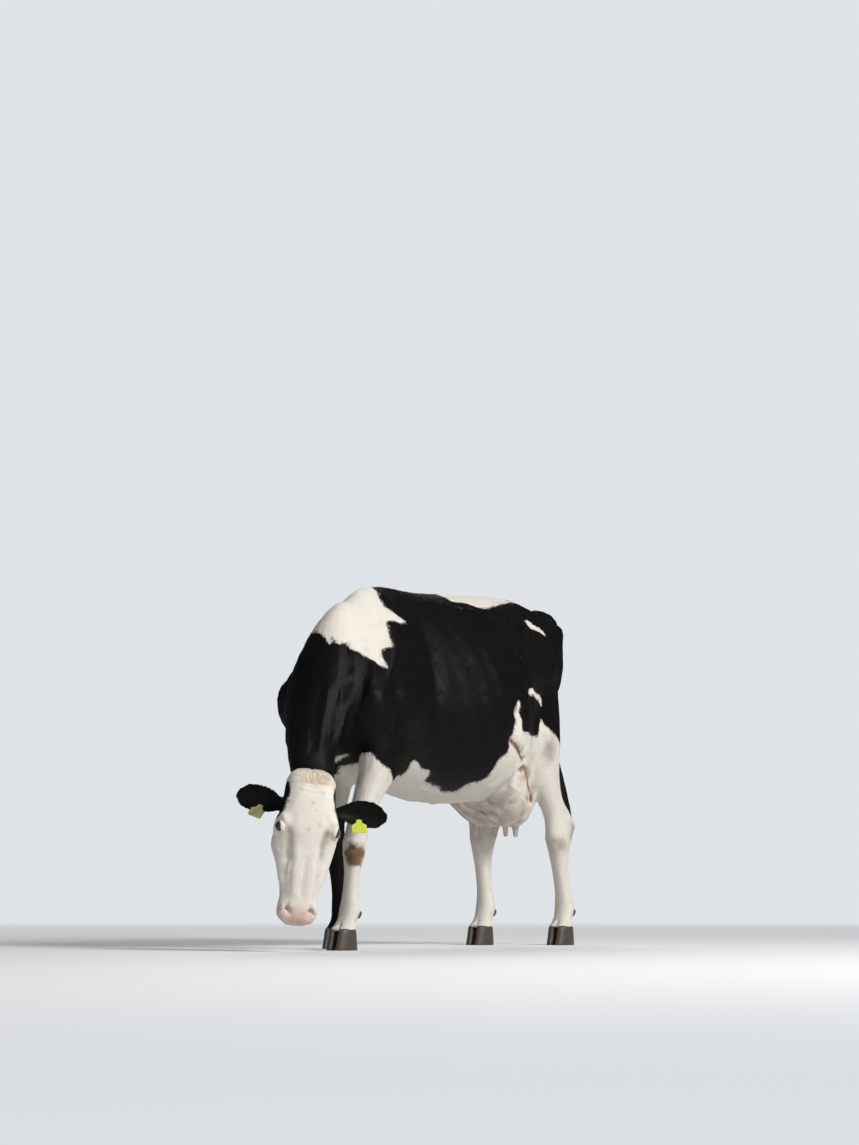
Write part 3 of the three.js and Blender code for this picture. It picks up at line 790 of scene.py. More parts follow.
def on_both(strokes: Sequence[Stroke]) -> list[Stroke]:
    """The strokes, then their mirror images."""
    others = [Stroke(mirrored(stroke.line), stroke.width, stroke.lift) for stroke in strokes]
    return [*strokes, *others]


def rib_strokes() -> list[Stroke]:
    """The ribs that show faintly through the barrel.

    Returns:
        The strokes of the left side.
    """
    pitch = 0.085
    ribs = []
    for i in range(7):
        back = pitch * i
        line = places(
            (0.19 + 0.008 * i, 0.1 + back, 1.37),
            (0.27 + 0.008 * i, 0.15 + back, 1.2),
            (0.31 + 0.006 * i, 0.18 + back, 1.02),
            (0.32 + 0.003 * i, 0.18 + back, 0.82),
        )
        ribs.append(Stroke(line, 0.022, 0.0026))
        between = [point + np.array((0.004, pitch / 2, 0.0)) for point in line]
        ribs.append(Stroke(between, 0.02, -0.002))
    return ribs


def torso_strokes() -> list[Stroke]:
    """Bones, muscles and hollows of the trunk.

    Returns:
        The strokes of both sides and the middle.
    """
    side = drawn(
        place,
        (0.019, -0.011, *UDDER_FURROW),
        (0.024, 0.01, (0.07, -0.06, 1.42), (0.19, -0.25, 1.12), (0.24, -0.38, 0.99)),
        (0.04, -0.007, (0.14, 0.0, 1.36), (0.22, -0.14, 1.12)),
        (0.035, -0.006, (0.1, -0.18, 1.36), (0.2, -0.32, 1.12)),
        (0.034, -0.015, (0.12, 0.07, 1.39), (0.21, 0.04, 1.22), (0.27, 0.0, 1.0),
         (0.26, -0.05, 0.82)),
        (0.07, 0.012, (0.25, -0.17, 0.93)),
        (0.06, 0.007, (0.24, -0.33, 0.93)),
        (0.02, -0.009, (0.26, -0.27, 1.03), (0.25, -0.27, 0.86)),
        (0.026, 0.009, (0.22, 0.47, 1.36), (0.33, 0.58, 1.14), (0.34, 0.62, 0.95),
         (0.27, 0.58, 0.78)),
        (0.022, 0.012, (0.19, 0.34, 1.415), (0.22, 0.46, 1.415), (0.24, 0.6, 1.4)),
        (0.062, -0.017, (0.29, 0.6, 1.31)),
        (0.06, -0.008, (0.28, 0.66, 1.22)),
        (0.022, 0.016, (0.22, 0.64, 1.435), (0.262, 0.665, 1.405), (0.262, 0.7, 1.35)),
        (0.03, 0.008, (0.25, 0.72, 1.34), (0.245, 0.82, 1.24), (0.24, 0.91, 1.16)),
        (0.05, -0.01, (0.16, 0.78, 1.42), (0.13, 0.95, 1.42)),
        (0.055, -0.007, (0.2, 0.84, 1.33), (0.17, 1.0, 1.3)),
        (0.055, 0.009, (0.24, 0.915, 1.15)),
        (0.024, 0.011, (0.118, 1.15, 1.37), (0.12, 1.2, 1.33)),
        (0.022, -0.01, (0.05, 1.02, 1.44), (0.052, 1.16, 1.4)),
        (0.03, -0.008, (0.19, 0.98, 1.22), (0.15, 1.1, 1.05), (0.13, 1.12, 0.9)),
        (0.02, 0.01, (0.27, 0.72, 0.9), (0.3, 0.62, 0.82), (0.3, 0.5, 0.72), (0.25, 0.4, 0.63)),
        (0.026, -0.01, (0.27, 0.76, 0.95), (0.32, 0.66, 0.88), (0.33, 0.54, 0.8)),
        (0.01, 0.008, (0.12, 0.56, 0.62), (0.14, 0.42, 0.595), (0.11, 0.26, 0.6),
         (0.12, 0.08, 0.62)),
    )
    middle = drawn(
        place,
        (0.02, 0.006, (0, -0.2, 1.44), (0, 0.2, 1.448), (0, 0.65, 1.467), (0, 0.95, 1.464)),
        (0.022, 0.01, (0, 0.34, 0.585)),
        (0.03, 0.008, (0, -0.42, 0.76), (0, -0.25, 0.69), (0, -0.1, 0.65)),
    )
    return [*on_both([*side, *rib_strokes()]), *middle]


def neck_strokes() -> list[Stroke]:
    """Folds of skin across the bent neck, its jugular grooves and the dewlap.

    Returns:
        The strokes, those of the left side first.
    """
    return drawn(
        place,
        (0.014, -0.007, (0.1, -0.4, 1.2), (0.13, -0.47, 1.0), (0.15, -0.56, 0.8)),
        (0.014, 0.006, (0.13, -0.38, 1.16), (0.155, -0.44, 0.98), (0.17, -0.52, 0.82)),
        (0.012, -0.007, (0.15, -0.36, 1.1), (0.165, -0.42, 0.95), (0.16, -0.47, 0.8)),
        (0.013, -0.006, (0.075, -0.55, 1.06), (0.11, -0.62, 0.92), (0.14, -0.68, 0.78)),
        (0.013, 0.005, (0.1, -0.52, 1.04), (0.13, -0.59, 0.9), (0.155, -0.65, 0.76)),
        (0.012, -0.006, (0.11, -0.45, 1.02), (0.13, -0.52, 0.84), (0.14, -0.58, 0.74)),
        (0.02, 0.009, (0.19, -0.34, 1.12), (0.2, -0.4, 0.98), (0.16, -0.44, 0.86)),
        (0.014, -0.009, (0.17, -0.38, 1.05), (0.18, -0.42, 0.93)),
        (0.014, -0.006, (-0.12, -0.42, 1.2), (-0.1, -0.5, 1.0), (-0.06, -0.58, 0.84)),
        (0.014, 0.005, (-0.1, -0.47, 1.16), (-0.08, -0.55, 0.96), (-0.04, -0.62, 0.8)),
        (0.013, -0.007, (-0.14, -0.38, 1.12), (-0.12, -0.45, 0.92), (-0.08, -0.5, 0.78)),
        (0.012, -0.005, (-0.04, -0.6, 0.98), (-0.01, -0.66, 0.86), (0.03, -0.72, 0.74)),
        (0.02, 0.009, (-0.19, -0.34, 1.12), (-0.19, -0.4, 0.98), (-0.14, -0.44, 0.86)),
        (0.024, 0.012, (0.002, -0.44, 0.74), (0.02, -0.5, 0.71), (0.06, -0.56, 0.68),
         (0.1, -0.6, 0.62)),
    )


def foreleg_strokes(leg: Leg) -> list[Stroke]:
    """Bones and tendons of one front leg.

    Args:
        leg: which leg.

    Returns:
        The strokes.
    """
    at = leg.out
    strokes = drawn(
        at,
        (0.016, 0.005, (0.1, -0.31, 0.42), (0.15, -0.31, 0.42)),
        (0.014, 0.005, (0.1, -0.31, 0.375), (0.15, -0.31, 0.375)),
        (0.008, -0.003, (0.1, -0.31, 0.398), (0.15, -0.31, 0.398)),
        (0.018, 0.007, (0.127, -0.222, 0.4)),
        (0.016, 0.007, (0.093, -0.214, 0.142)),
        (0.016, 0.007, (0.135, -0.214, 0.142)),
    )
    for side in (-1, 1):
        strokes += drawn(
            at,
            (0.007, -0.005, (0.12 + side * 0.032, -0.245, 0.34),
             (0.117 + side * 0.03, -0.238, 0.2)),
            (0.01, -0.006, (0.14 + side * 0.045, -0.235, 0.56), (0.13 + side * 0.045, -0.25, 0.44)),
            (0.014, -0.006, (0.158 + side * 0.06, -0.2, 0.66), (0.142 + side * 0.05, -0.23, 0.54)),
            (0.016, 0.004, (0.127 + side * 0.047, -0.262, 0.43)),
            (0.015, 0.004, (0.115 + side * 0.042, -0.254, 0.152)),
            (0.012, -0.004, (0.113 + side * 0.038, -0.262, 0.112)),
        )
    return strokes + drawn(
        at,
        (0.009, -0.009, (0.112, -0.33, 0.074), (0.112, -0.315, 0.11)),
        (0.01, -0.008, (0.112, -0.225, 0.074), (0.112, -0.225, 0.11)),
    )


def hindleg_strokes(leg: Leg) -> list[Stroke]:
    """Muscles, bones and tendons of one hind leg.

    Args:
        leg: which leg.

    Returns:
        The strokes.
    """
    at = leg.out
    strokes = drawn(
        at,
        (0.02, -0.009, (0.23, 1.03, 1.1), (0.235, 1.0, 0.95), (0.22, 0.98, 0.8), (0.2, 0.965, 0.7)),
        (0.026, -0.006, (0.24, 0.8, 1.02), (0.25, 0.79, 0.92), (0.235, 0.8, 0.8)),
        (0.038, 0.01, (0.24, 0.7, 0.875)),
        (0.026, -0.006, (0.235, 0.715, 0.79)),
        (0.028, 0.006, (0.22, 0.83, 0.76), (0.205, 0.87, 0.66), (0.195, 0.91, 0.58)),
        (0.02, 0.01, (0.158, 1.115, 0.508)),
        (0.012, 0.005, (0.161, 1.075, 0.6), (0.158, 1.1, 0.54)),
        (0.024, 0.005, (0.157, 0.938, 0.478)),
        (0.016, 0.007, (0.126, 1.09, 0.142)),
        (0.016, 0.007, (0.168, 1.09, 0.142)),
    )
    for side in (-1, 1):
        strokes += drawn(
            at,
            (0.016, -0.012, (0.163 + side * 0.045, 1.005, 0.66),
             (0.161 + side * 0.042, 1.035, 0.58),
             (0.158 + side * 0.043, 1.05, 0.51)),
            (0.022, 0.005, (0.157 + side * 0.046, 0.985, 0.455)),
            (0.008, -0.006, (0.152 + side * 0.04, 1.035, 0.4), (0.149 + side * 0.034, 1.035, 0.22)),
            (0.015, 0.004, (0.147 + side * 0.043, 1.048, 0.152)),
            (0.012, -0.004, (0.146 + side * 0.04, 1.036, 0.112)),
        )
    return strokes + drawn(
        at,
        (0.009, -0.009, (0.146, 0.97, 0.074), (0.146, 0.985, 0.11)),
        (0.01, -0.008, (0.146, 1.072, 0.074), (0.146, 1.075, 0.11)),
    )


def udder_strokes() -> list[Stroke]:
    """The furrows between the quarters and the veins over them.

    Returns:
        The strokes of both sides.
    """
    middle = drawn(
        place,
        (0.018, -0.012, (0, 0.66, 0.53), (0, 0.8, 0.5), (0, 0.92, 0.53), (0, 0.97, 0.64),
         (0, 0.98, 0.8)),
    )
    side = drawn(
        place,
        (0.02, -0.009, (0.165, 0.84, 0.66), (0.15, 0.84, 0.57), (0.07, 0.84, 0.5)),
        (0.006, 0.0035, (0.17, 0.62, 0.69), (0.166, 0.72, 0.64), (0.155, 0.79, 0.59)),
        (0.005, 0.003, (0.168, 0.66, 0.6), (0.163, 0.72, 0.64), (0.168, 0.78, 0.7)),
        (0.008, 0.006, (0.15, 0.58, 0.62), (0.12, 0.52, 0.63), (0.11, 0.44, 0.6)),
        (0.005, 0.003, (0.15, 0.9, 0.56), (0.155, 0.93, 0.64), (0.14, 0.95, 0.72)),
    )
    return [*middle, *on_both(side)]


@dataclass(frozen=True)
class EyeFrame:
    """One eye: where it lies, and the line from its corner at the poll to that at the nose."""

    side: Side
    radius: float = 0.021
    half_long: float = 0.0172
    half_high: float = 0.012

    def centre(self) -> Array:
        """The middle of the ball in the row frame."""
        return HEAD.out(self.side.value * 0.102, 0.218, 0.038)

    def basis(self) -> Array:
        """The eye's three axes in the row frame.

        Returns:
            As columns: along the lids, across them towards the brow, and outward.
        """
        outward = unit(HEAD.way(self.side.value * 0.86, 0.02, 0.5))
        along = HEAD.way(0.0, 1.0, 0.22)
        along = unit(along - outward * (along @ outward))
        across = np.cross(outward, along)
        across *= np.sign(across @ HEAD.way(0.0, 0.0, 1.0))
        return np.column_stack((along, across, outward))

    def into(self, points: Array) -> Array:
        """Row-frame points as (along, across, outward) of the eye."""
        return (points - self.centre()) @ self.basis()

    def rim(self, angle: float, grow: float = 0.0) -> Array:
        """A point of the lids' edge.

        Args:
            angle: round the eye from its corner at the nose.
            grow: how far outside the edge.

        Returns:
            The point in the row frame.
        """
        along = (self.half_long + grow) * math.cos(angle)
        across = (self.half_high + grow) * math.sin(angle) * abs(math.sin(angle)) ** 0.25
        reach = self.radius + 0.0012
        outward = math.sqrt(max(reach**2 - along**2 - across**2, 0.0))
        return self.centre() + self.basis() @ np.array((along, across, outward))


EYES = (EyeFrame(Side.LEFT), EyeFrame(Side.RIGHT))


def head_side_strokes(sign: int) -> list[Stroke]:
    """Bones and folds on one side of the head.

    Args:
        sign: 1 for the cow's left, -1 for its right.

    Returns:
        The strokes, from the orbit down to the mouth.
    """

    def at(left: float, down: float, forward: float) -> Array:
        """A point on this side of the head."""
        return HEAD.out(sign * left, down, forward)

    return drawn(
        at,
        # The rim of the orbit: over, before and under the eye
        (0.011, 0.008, (0.098, 0.18, 0.05), (0.094, 0.2, 0.072), (0.092, 0.228, 0.076),
         (0.094, 0.25, 0.062)),
        (0.011, 0.006, (0.118, 0.182, 0.02), (0.124, 0.205, 0.006), (0.122, 0.24, 0.004)),
        (0.014, -0.007, (0.07, 0.175, 0.082), (0.066, 0.215, 0.084)),
        (0.016, 0.006, (0.094, 0.178, 0.064)),
        # Folds of the upper and lower lid
        (0.0035, -0.003, (0.1, 0.188, 0.06), (0.104, 0.215, 0.068), (0.102, 0.245, 0.058)),
        (0.0035, -0.0028, (0.119, 0.195, 0.028), (0.125, 0.218, 0.02), (0.119, 0.245, 0.024)),
        (0.006, -0.005, (0.114, 0.25, 0.034), (0.104, 0.275, 0.034), (0.098, 0.3, 0.028)),
        # The crease inside the eye, down to the hollow before it
        (0.007, -0.006, (0.072, 0.205, 0.08), (0.076, 0.235, 0.076), (0.082, 0.268, 0.062)),
        (0.026, -0.008, (0.08, 0.252, 0.064), (0.078, 0.29, 0.054), (0.074, 0.33, 0.044)),
        # The crest of the cheek and the chewing muscle
        (0.014, 0.008, (0.112, 0.262, 0.004), (0.1, 0.31, -0.002), (0.086, 0.365, 0.0),
         (0.076, 0.41, 0.004)),
        (0.01, -0.006, (0.112, 0.245, -0.03), (0.1, 0.3, -0.045), (0.08, 0.35, -0.08),
         (0.06, 0.365, -0.12)),
        (0.04, 0.007, (0.098, 0.265, -0.085)),
        (0.006, -0.002, (0.104, 0.215, -0.05), (0.098, 0.28, -0.075)),
        # The bridge of the nose and the hollow beside it
        (0.018, 0.004, (0.04, 0.3, 0.062), (0.036, 0.38, 0.052), (0.032, 0.46, 0.042)),
        (0.024, -0.004, (0.066, 0.34, 0.044), (0.062, 0.4, 0.032), (0.056, 0.46, 0.024)),
        (0.009, -0.0015, (0.05, 0.395, 0.04), (0.048, 0.44, 0.036), (0.05, 0.48, 0.032)),
        (0.009, -0.002, (0.07, 0.39, 0.022), (0.064, 0.44, 0.02), (0.062, 0.485, 0.02)),
        (0.005, 0.003, (0.06, 0.34, 0.046), (0.06, 0.385, 0.036)),
        # The temple, and the bulge under the ear
        (0.018, 0.006, (0.1, 0.12, 0.045), (0.105, 0.165, 0.03)),
        (0.026, -0.008, (0.098, 0.14, -0.012)),
        (0.018, 0.003, (0.03, 0.06, 0.074), (0.06, 0.11, 0.08), (0.08, 0.16, 0.078)),
        # The nostril: a comma-shaped pit with a raised wing
        (0.0085, -0.02, (0.046, 0.52, 0.026), (0.04, 0.535, 0.034), (0.03, 0.546, 0.036)),
        (0.005, -0.008, (0.052, 0.522, 0.022), (0.06, 0.534, 0.018)),
        (0.007, 0.005, (0.058, 0.51, 0.018), (0.062, 0.53, 0.022), (0.052, 0.55, 0.028)),
        (0.006, 0.004, (0.034, 0.514, 0.034), (0.022, 0.53, 0.036), (0.02, 0.548, 0.032)),
        # The mouth, and the folds at its corner
        (0.0045, -0.009, (0.04, 0.574, -0.03), (0.066, 0.562, -0.034), (0.073, 0.512, -0.05),
         (0.072, 0.46, -0.057), (0.078, 0.42, -0.062)),
        (0.012, 0.005, (0.074, 0.54, -0.026), (0.074, 0.49, -0.04)),
        (0.006, -0.004, (0.07, 0.415, -0.05), (0.08, 0.405, -0.066), (0.078, 0.41, -0.082)),
        (0.01, 0.004, (0.064, 0.54, -0.056), (0.066, 0.48, -0.074)),
    )


def head_strokes() -> list[Stroke]:
    """The whole head's bones and folds.

    Returns:
        The strokes, those of the poll first.
    """
    at = HEAD.out
    wrinkles = drawn(
        at,
        *(
            (0.004, 0.0016 * (-1) ** i, (-0.05, 0.048 + 0.01 * i, 0.066),
             (0.0, 0.054 + 0.01 * i, 0.074), (0.05, 0.05 + 0.01 * i, 0.068))
            for i in range(4)
        ),
    )
    middle = drawn(
        at,
        (0.026, 0.002, (-0.04, -0.008, 0.02), (0.04, -0.008, 0.02)),
        (0.004, -0.004, (0, 0.56, 0.022), (0, 0.572, 0.004), (0, 0.575, -0.02)),
        (0.01, -0.002, (0, 0.33, 0.056), (0, 0.46, 0.04)),
        (0.012, 0.004, (-0.03, 0.57, -0.045), (0.03, 0.57, -0.045)),
        (0.016, 0.006, (-0.035, 0.545, -0.078), (0.035, 0.545, -0.078)),
        (0.026, -0.008, (0, 0.3, -0.15), (0, 0.45, -0.105)),
    )
    return [*wrinkles, *middle, *head_side_strokes(1), *head_side_strokes(-1)]


def ear_strokes(ear: EarFrame) -> list[Stroke]:
    """The ridges inside one ear, then its rolled edge.

    Args:
        ear: which ear.

    Returns:
        The strokes.
    """
    ridges = (
        (0.004, 0.004, (0.02, -0.012, up), (0.1, 0.004, up * 1.6)) for up in (-0.014, 0.0, 0.014)
    )
    edges = (
        (0.006, 0.003, (0.02, -0.016, side * 0.026), (0.07, 0.0, side * 0.05),
         (0.13, 0.0, side * 0.056))
        for side in (-1, 1)
    )
    return drawn(ear.out, *ridges, *edges)


# ---- Markings


CORNER_CUT = 0.16
DEEP = 0.05  # how far from its edge a marking is still measured


@dataclass(frozen=True)
class Patch:
    """A patch of coat, by its outline on a flat view of the cow."""

    outline: tuple[Flat, ...]

    def depth(self, flat: Array) -> Array:
        """How far each point is inside the outline, negative outside it.

        Args:
            flat: points on the same flat view.

        Returns:
            The distances to the outline, whose corners are cut.
        """
        corners = np.array(self.outline)
        following = np.roll(corners, -1, axis=0)
        near, far = 1 - CORNER_CUT, CORNER_CUT
        cut = np.stack((corners * near + following * far, corners * far + following * near), 1)
        corners = cut.reshape(-1, 2)
        away = np.full(len(flat), np.inf)
        crossings = np.zeros(len(flat), bool)
        for start, end in zip(corners, np.roll(corners, -1, axis=0)):
            run = end - start
            t = np.clip(((flat - start) @ run) / max(run @ run, 1e-12), 0, 1)
            away = np.minimum(away, np.hypot(*(flat - start - t[:, None] * run).T))
            spans = (start[1] > flat[:, 1]) != (end[1] > flat[:, 1])
            rate = (flat[:, 1] - start[1]) / (run[1] if run[1] else 1e-12)
            crossings ^= spans & (flat[:, 0] < start[0] + rate * run[0])
        return np.where(crossings, away, -away)


# From the left: behind the withers, and up
SHOULDER_PATCH = Patch((
    (-0.45, 1.6), (-0.101, 1.6), (-0.101, 1.426), (-0.136, 1.394), (-0.143, 1.355), (-0.13, 1.331),
    (-0.073, 1.319), (-0.04, 1.304), (-0.102, 1.292), (-0.155, 1.298), (-0.184, 1.294),
    (-0.205, 1.264), (-0.217, 1.231), (-0.229, 1.184), (-0.252, 1.183), (-0.27, 1.176),
    (-0.279, 1.139), (-0.288, 1.1), (-0.304, 1.11), (-0.325, 1.129), (-0.343, 1.145),
    (-0.367, 1.16), (-0.388, 1.167), (-0.395, 1.195), (-0.416, 1.187), (-0.423, 1.195),
    (-0.424, 1.211), (-0.438, 1.186), (-0.436, 1.207), (-0.452, 1.214), (-0.463, 1.235),
    (-0.458, 1.262), (-0.45, 1.285),
))
BACK_STRIP = Patch((
    (0.36, 1.6), (0.352, 1.45), (0.345, 1.42), (0.366, 1.413), (0.425, 1.412), (0.458, 1.397),
    (0.538, 1.399), (0.62, 1.418), (0.77, 1.44), (0.84, 1.452), (0.875, 1.462), (0.88, 1.6),
))
RUMP_STREAK = Patch((
    (0.807, 1.364), (0.825, 1.335), (0.894, 1.327), (0.955, 1.314), (0.937, 1.339), (0.884, 1.352),
    (0.849, 1.372),
))
THIGH_ARC = Patch((
    (0.533, 1.038), (0.547, 1.052), (0.577, 1.062), (0.698, 1.056), (0.786, 1.049), (0.815, 1.027),
    (0.805, 1.0), (0.784, 1.022), (0.742, 1.034), (0.582, 1.036),
))
LOWER_LEFT = Patch((
    (-0.6, 0.5), (-0.5, 0.62), (-0.45, 0.7), (-0.41, 0.745), (-0.375, 0.767), (-0.366, 0.747),
    (-0.344, 0.72), (-0.301, 0.698), (-0.258, 0.669), (-0.22, 0.64), (-0.16, 0.628), (-0.1, 0.64),
    (-0.06, 0.657), (-0.081, 0.684), (-0.08, 0.707), (-0.093, 0.737), (-0.081, 0.749),
    (-0.053, 0.739), (-0.014, 0.712), (0.043, 0.71), (0.058, 0.683), (0.06, 0.671), (0.129, 0.654),
    (0.191, 0.639), (0.236, 0.628), (0.277, 0.629), (0.267, 0.648), (0.284, 0.665), (0.321, 0.673),
    (0.337, 0.689), (0.337, 0.749), (0.343, 0.773), (0.37, 0.778), (0.375, 0.806), (0.371, 0.834),
    (0.379, 0.855), (0.389, 0.88), (0.403, 0.921), (0.391, 0.949), (0.402, 0.97), (0.422, 0.995),
    (0.44, 1.004), (0.434, 0.98), (0.421, 0.954), (0.442, 0.923), (0.451, 0.886), (0.482, 0.876),
    (0.576, 0.876), (0.737, 0.873), (0.772, 0.879), (0.78, 0.912), (0.799, 0.951), (0.819, 0.927),
    (0.849, 0.907), (0.902, 0.892), (0.94, 0.873), (1.0, 0.855), (1.06, 0.83), (1.13, 0.75),
    (1.3, 0.4), (1.3, -0.2), (-0.7, -0.2), (-0.7, 0.5),
))
# From the right: the same plan with edges of its own
SHOULDER_RIGHT = Patch((
    (-0.45, 1.6), (-0.455, 1.27), (-0.42, 1.235), (-0.38, 1.24), (-0.33, 1.21), (-0.27, 1.25),
    (-0.2, 1.27), (-0.15, 1.33), (-0.1, 1.4), (-0.1, 1.6),
))
BACK_RIGHT = Patch((
    (0.36, 1.6), (0.355, 1.45), (0.37, 1.42), (0.43, 1.395), (0.48, 1.405), (0.56, 1.38),
    (0.62, 1.41), (0.7, 1.43), (0.79, 1.435), (0.86, 1.455), (0.88, 1.6),
))
BARREL_RIGHT = Patch((
    (0.16, 1.02), (0.22, 1.1), (0.3, 1.11), (0.36, 1.16), (0.44, 1.13), (0.47, 1.05), (0.43, 0.98),
    (0.45, 0.9), (0.36, 0.86), (0.29, 0.9), (0.21, 0.91),
))
LOWER_RIGHT = Patch((
    (-0.42, 0.6), (-0.36, 0.7), (-0.24, 0.66), (-0.08, 0.69), (0.04, 0.72), (0.18, 0.7),
    (0.3, 0.74), (0.42, 0.8), (0.52, 0.83), (0.6, 0.9), (0.66, 0.97), (0.72, 0.9), (0.84, 0.86),
    (0.96, 0.9), (1.04, 0.84), (1.12, 0.72), (1.3, 0.4), (1.3, -0.2), (-0.7, -0.2), (-0.7, 0.5),
))
# The furrow between the left thigh and the udder: a groove, with a brown painted shadow laid along
# its crease
UDDER_FURROW = (
    (0.361, 0.384, 0.835), (0.358, 0.418, 0.82), (0.347, 0.467, 0.802), (0.311, 0.553, 0.773),
    (0.194, 0.762, 0.733), (0.188, 0.794, 0.671), (0.162, 0.859, 0.611),
)
# On the side of the head: from the poll to the muzzle, and forward
TEMPLE = Patch((
    (0.012, -0.22), (0.018, 0.0), (0.045, 0.034), (0.085, 0.05), (0.13, 0.052), (0.165, 0.044),
    (0.186, 0.024), (0.196, 0.0), (0.206, -0.04), (0.225, -0.08), (0.25, -0.14), (0.27, -0.22),
))
STAINS_AND_SHADE = (
    # leg, across, behind the withers, height, size, strength: greyish stains on the left hock; the
    # rows on the left stifle and the right hock are painted shade
    (Leg.HIND_LEFT, 0.25, 0.835, 0.82, 0.05, 0.8),
    (Leg.HIND_LEFT, 0.195, 1.085, 0.48, 0.036, 0.85),
    (Leg.HIND_LEFT, 0.185, 0.975, 0.42, 0.038, 0.75),
    (Leg.HIND_RIGHT, 0.15, 0.945, 0.47, 0.035, 0.55),
)
SPOTS = (
    # across the face, down it, size, strength
    (0.004, 0.12, 0.006, 0.35), (0.018, 0.148, 0.005, 0.35), (0.04, 0.078, 0.007, 0.3),
    (-0.002, 0.222, 0.007, 0.28), (0.038, 0.197, 0.008, 0.22), (-0.086, 0.122, 0.0045, 0.9),
    (0.052, 0.3, 0.005, 0.2), (-0.02, 0.52, 0.008, 0.35), (-0.04, 0.498, 0.009, 0.3),
    (0.012, 0.535, 0.006, 0.35), (0.045, 0.5, 0.007, 0.25), (0.03, 0.548, 0.006, 0.35),
)


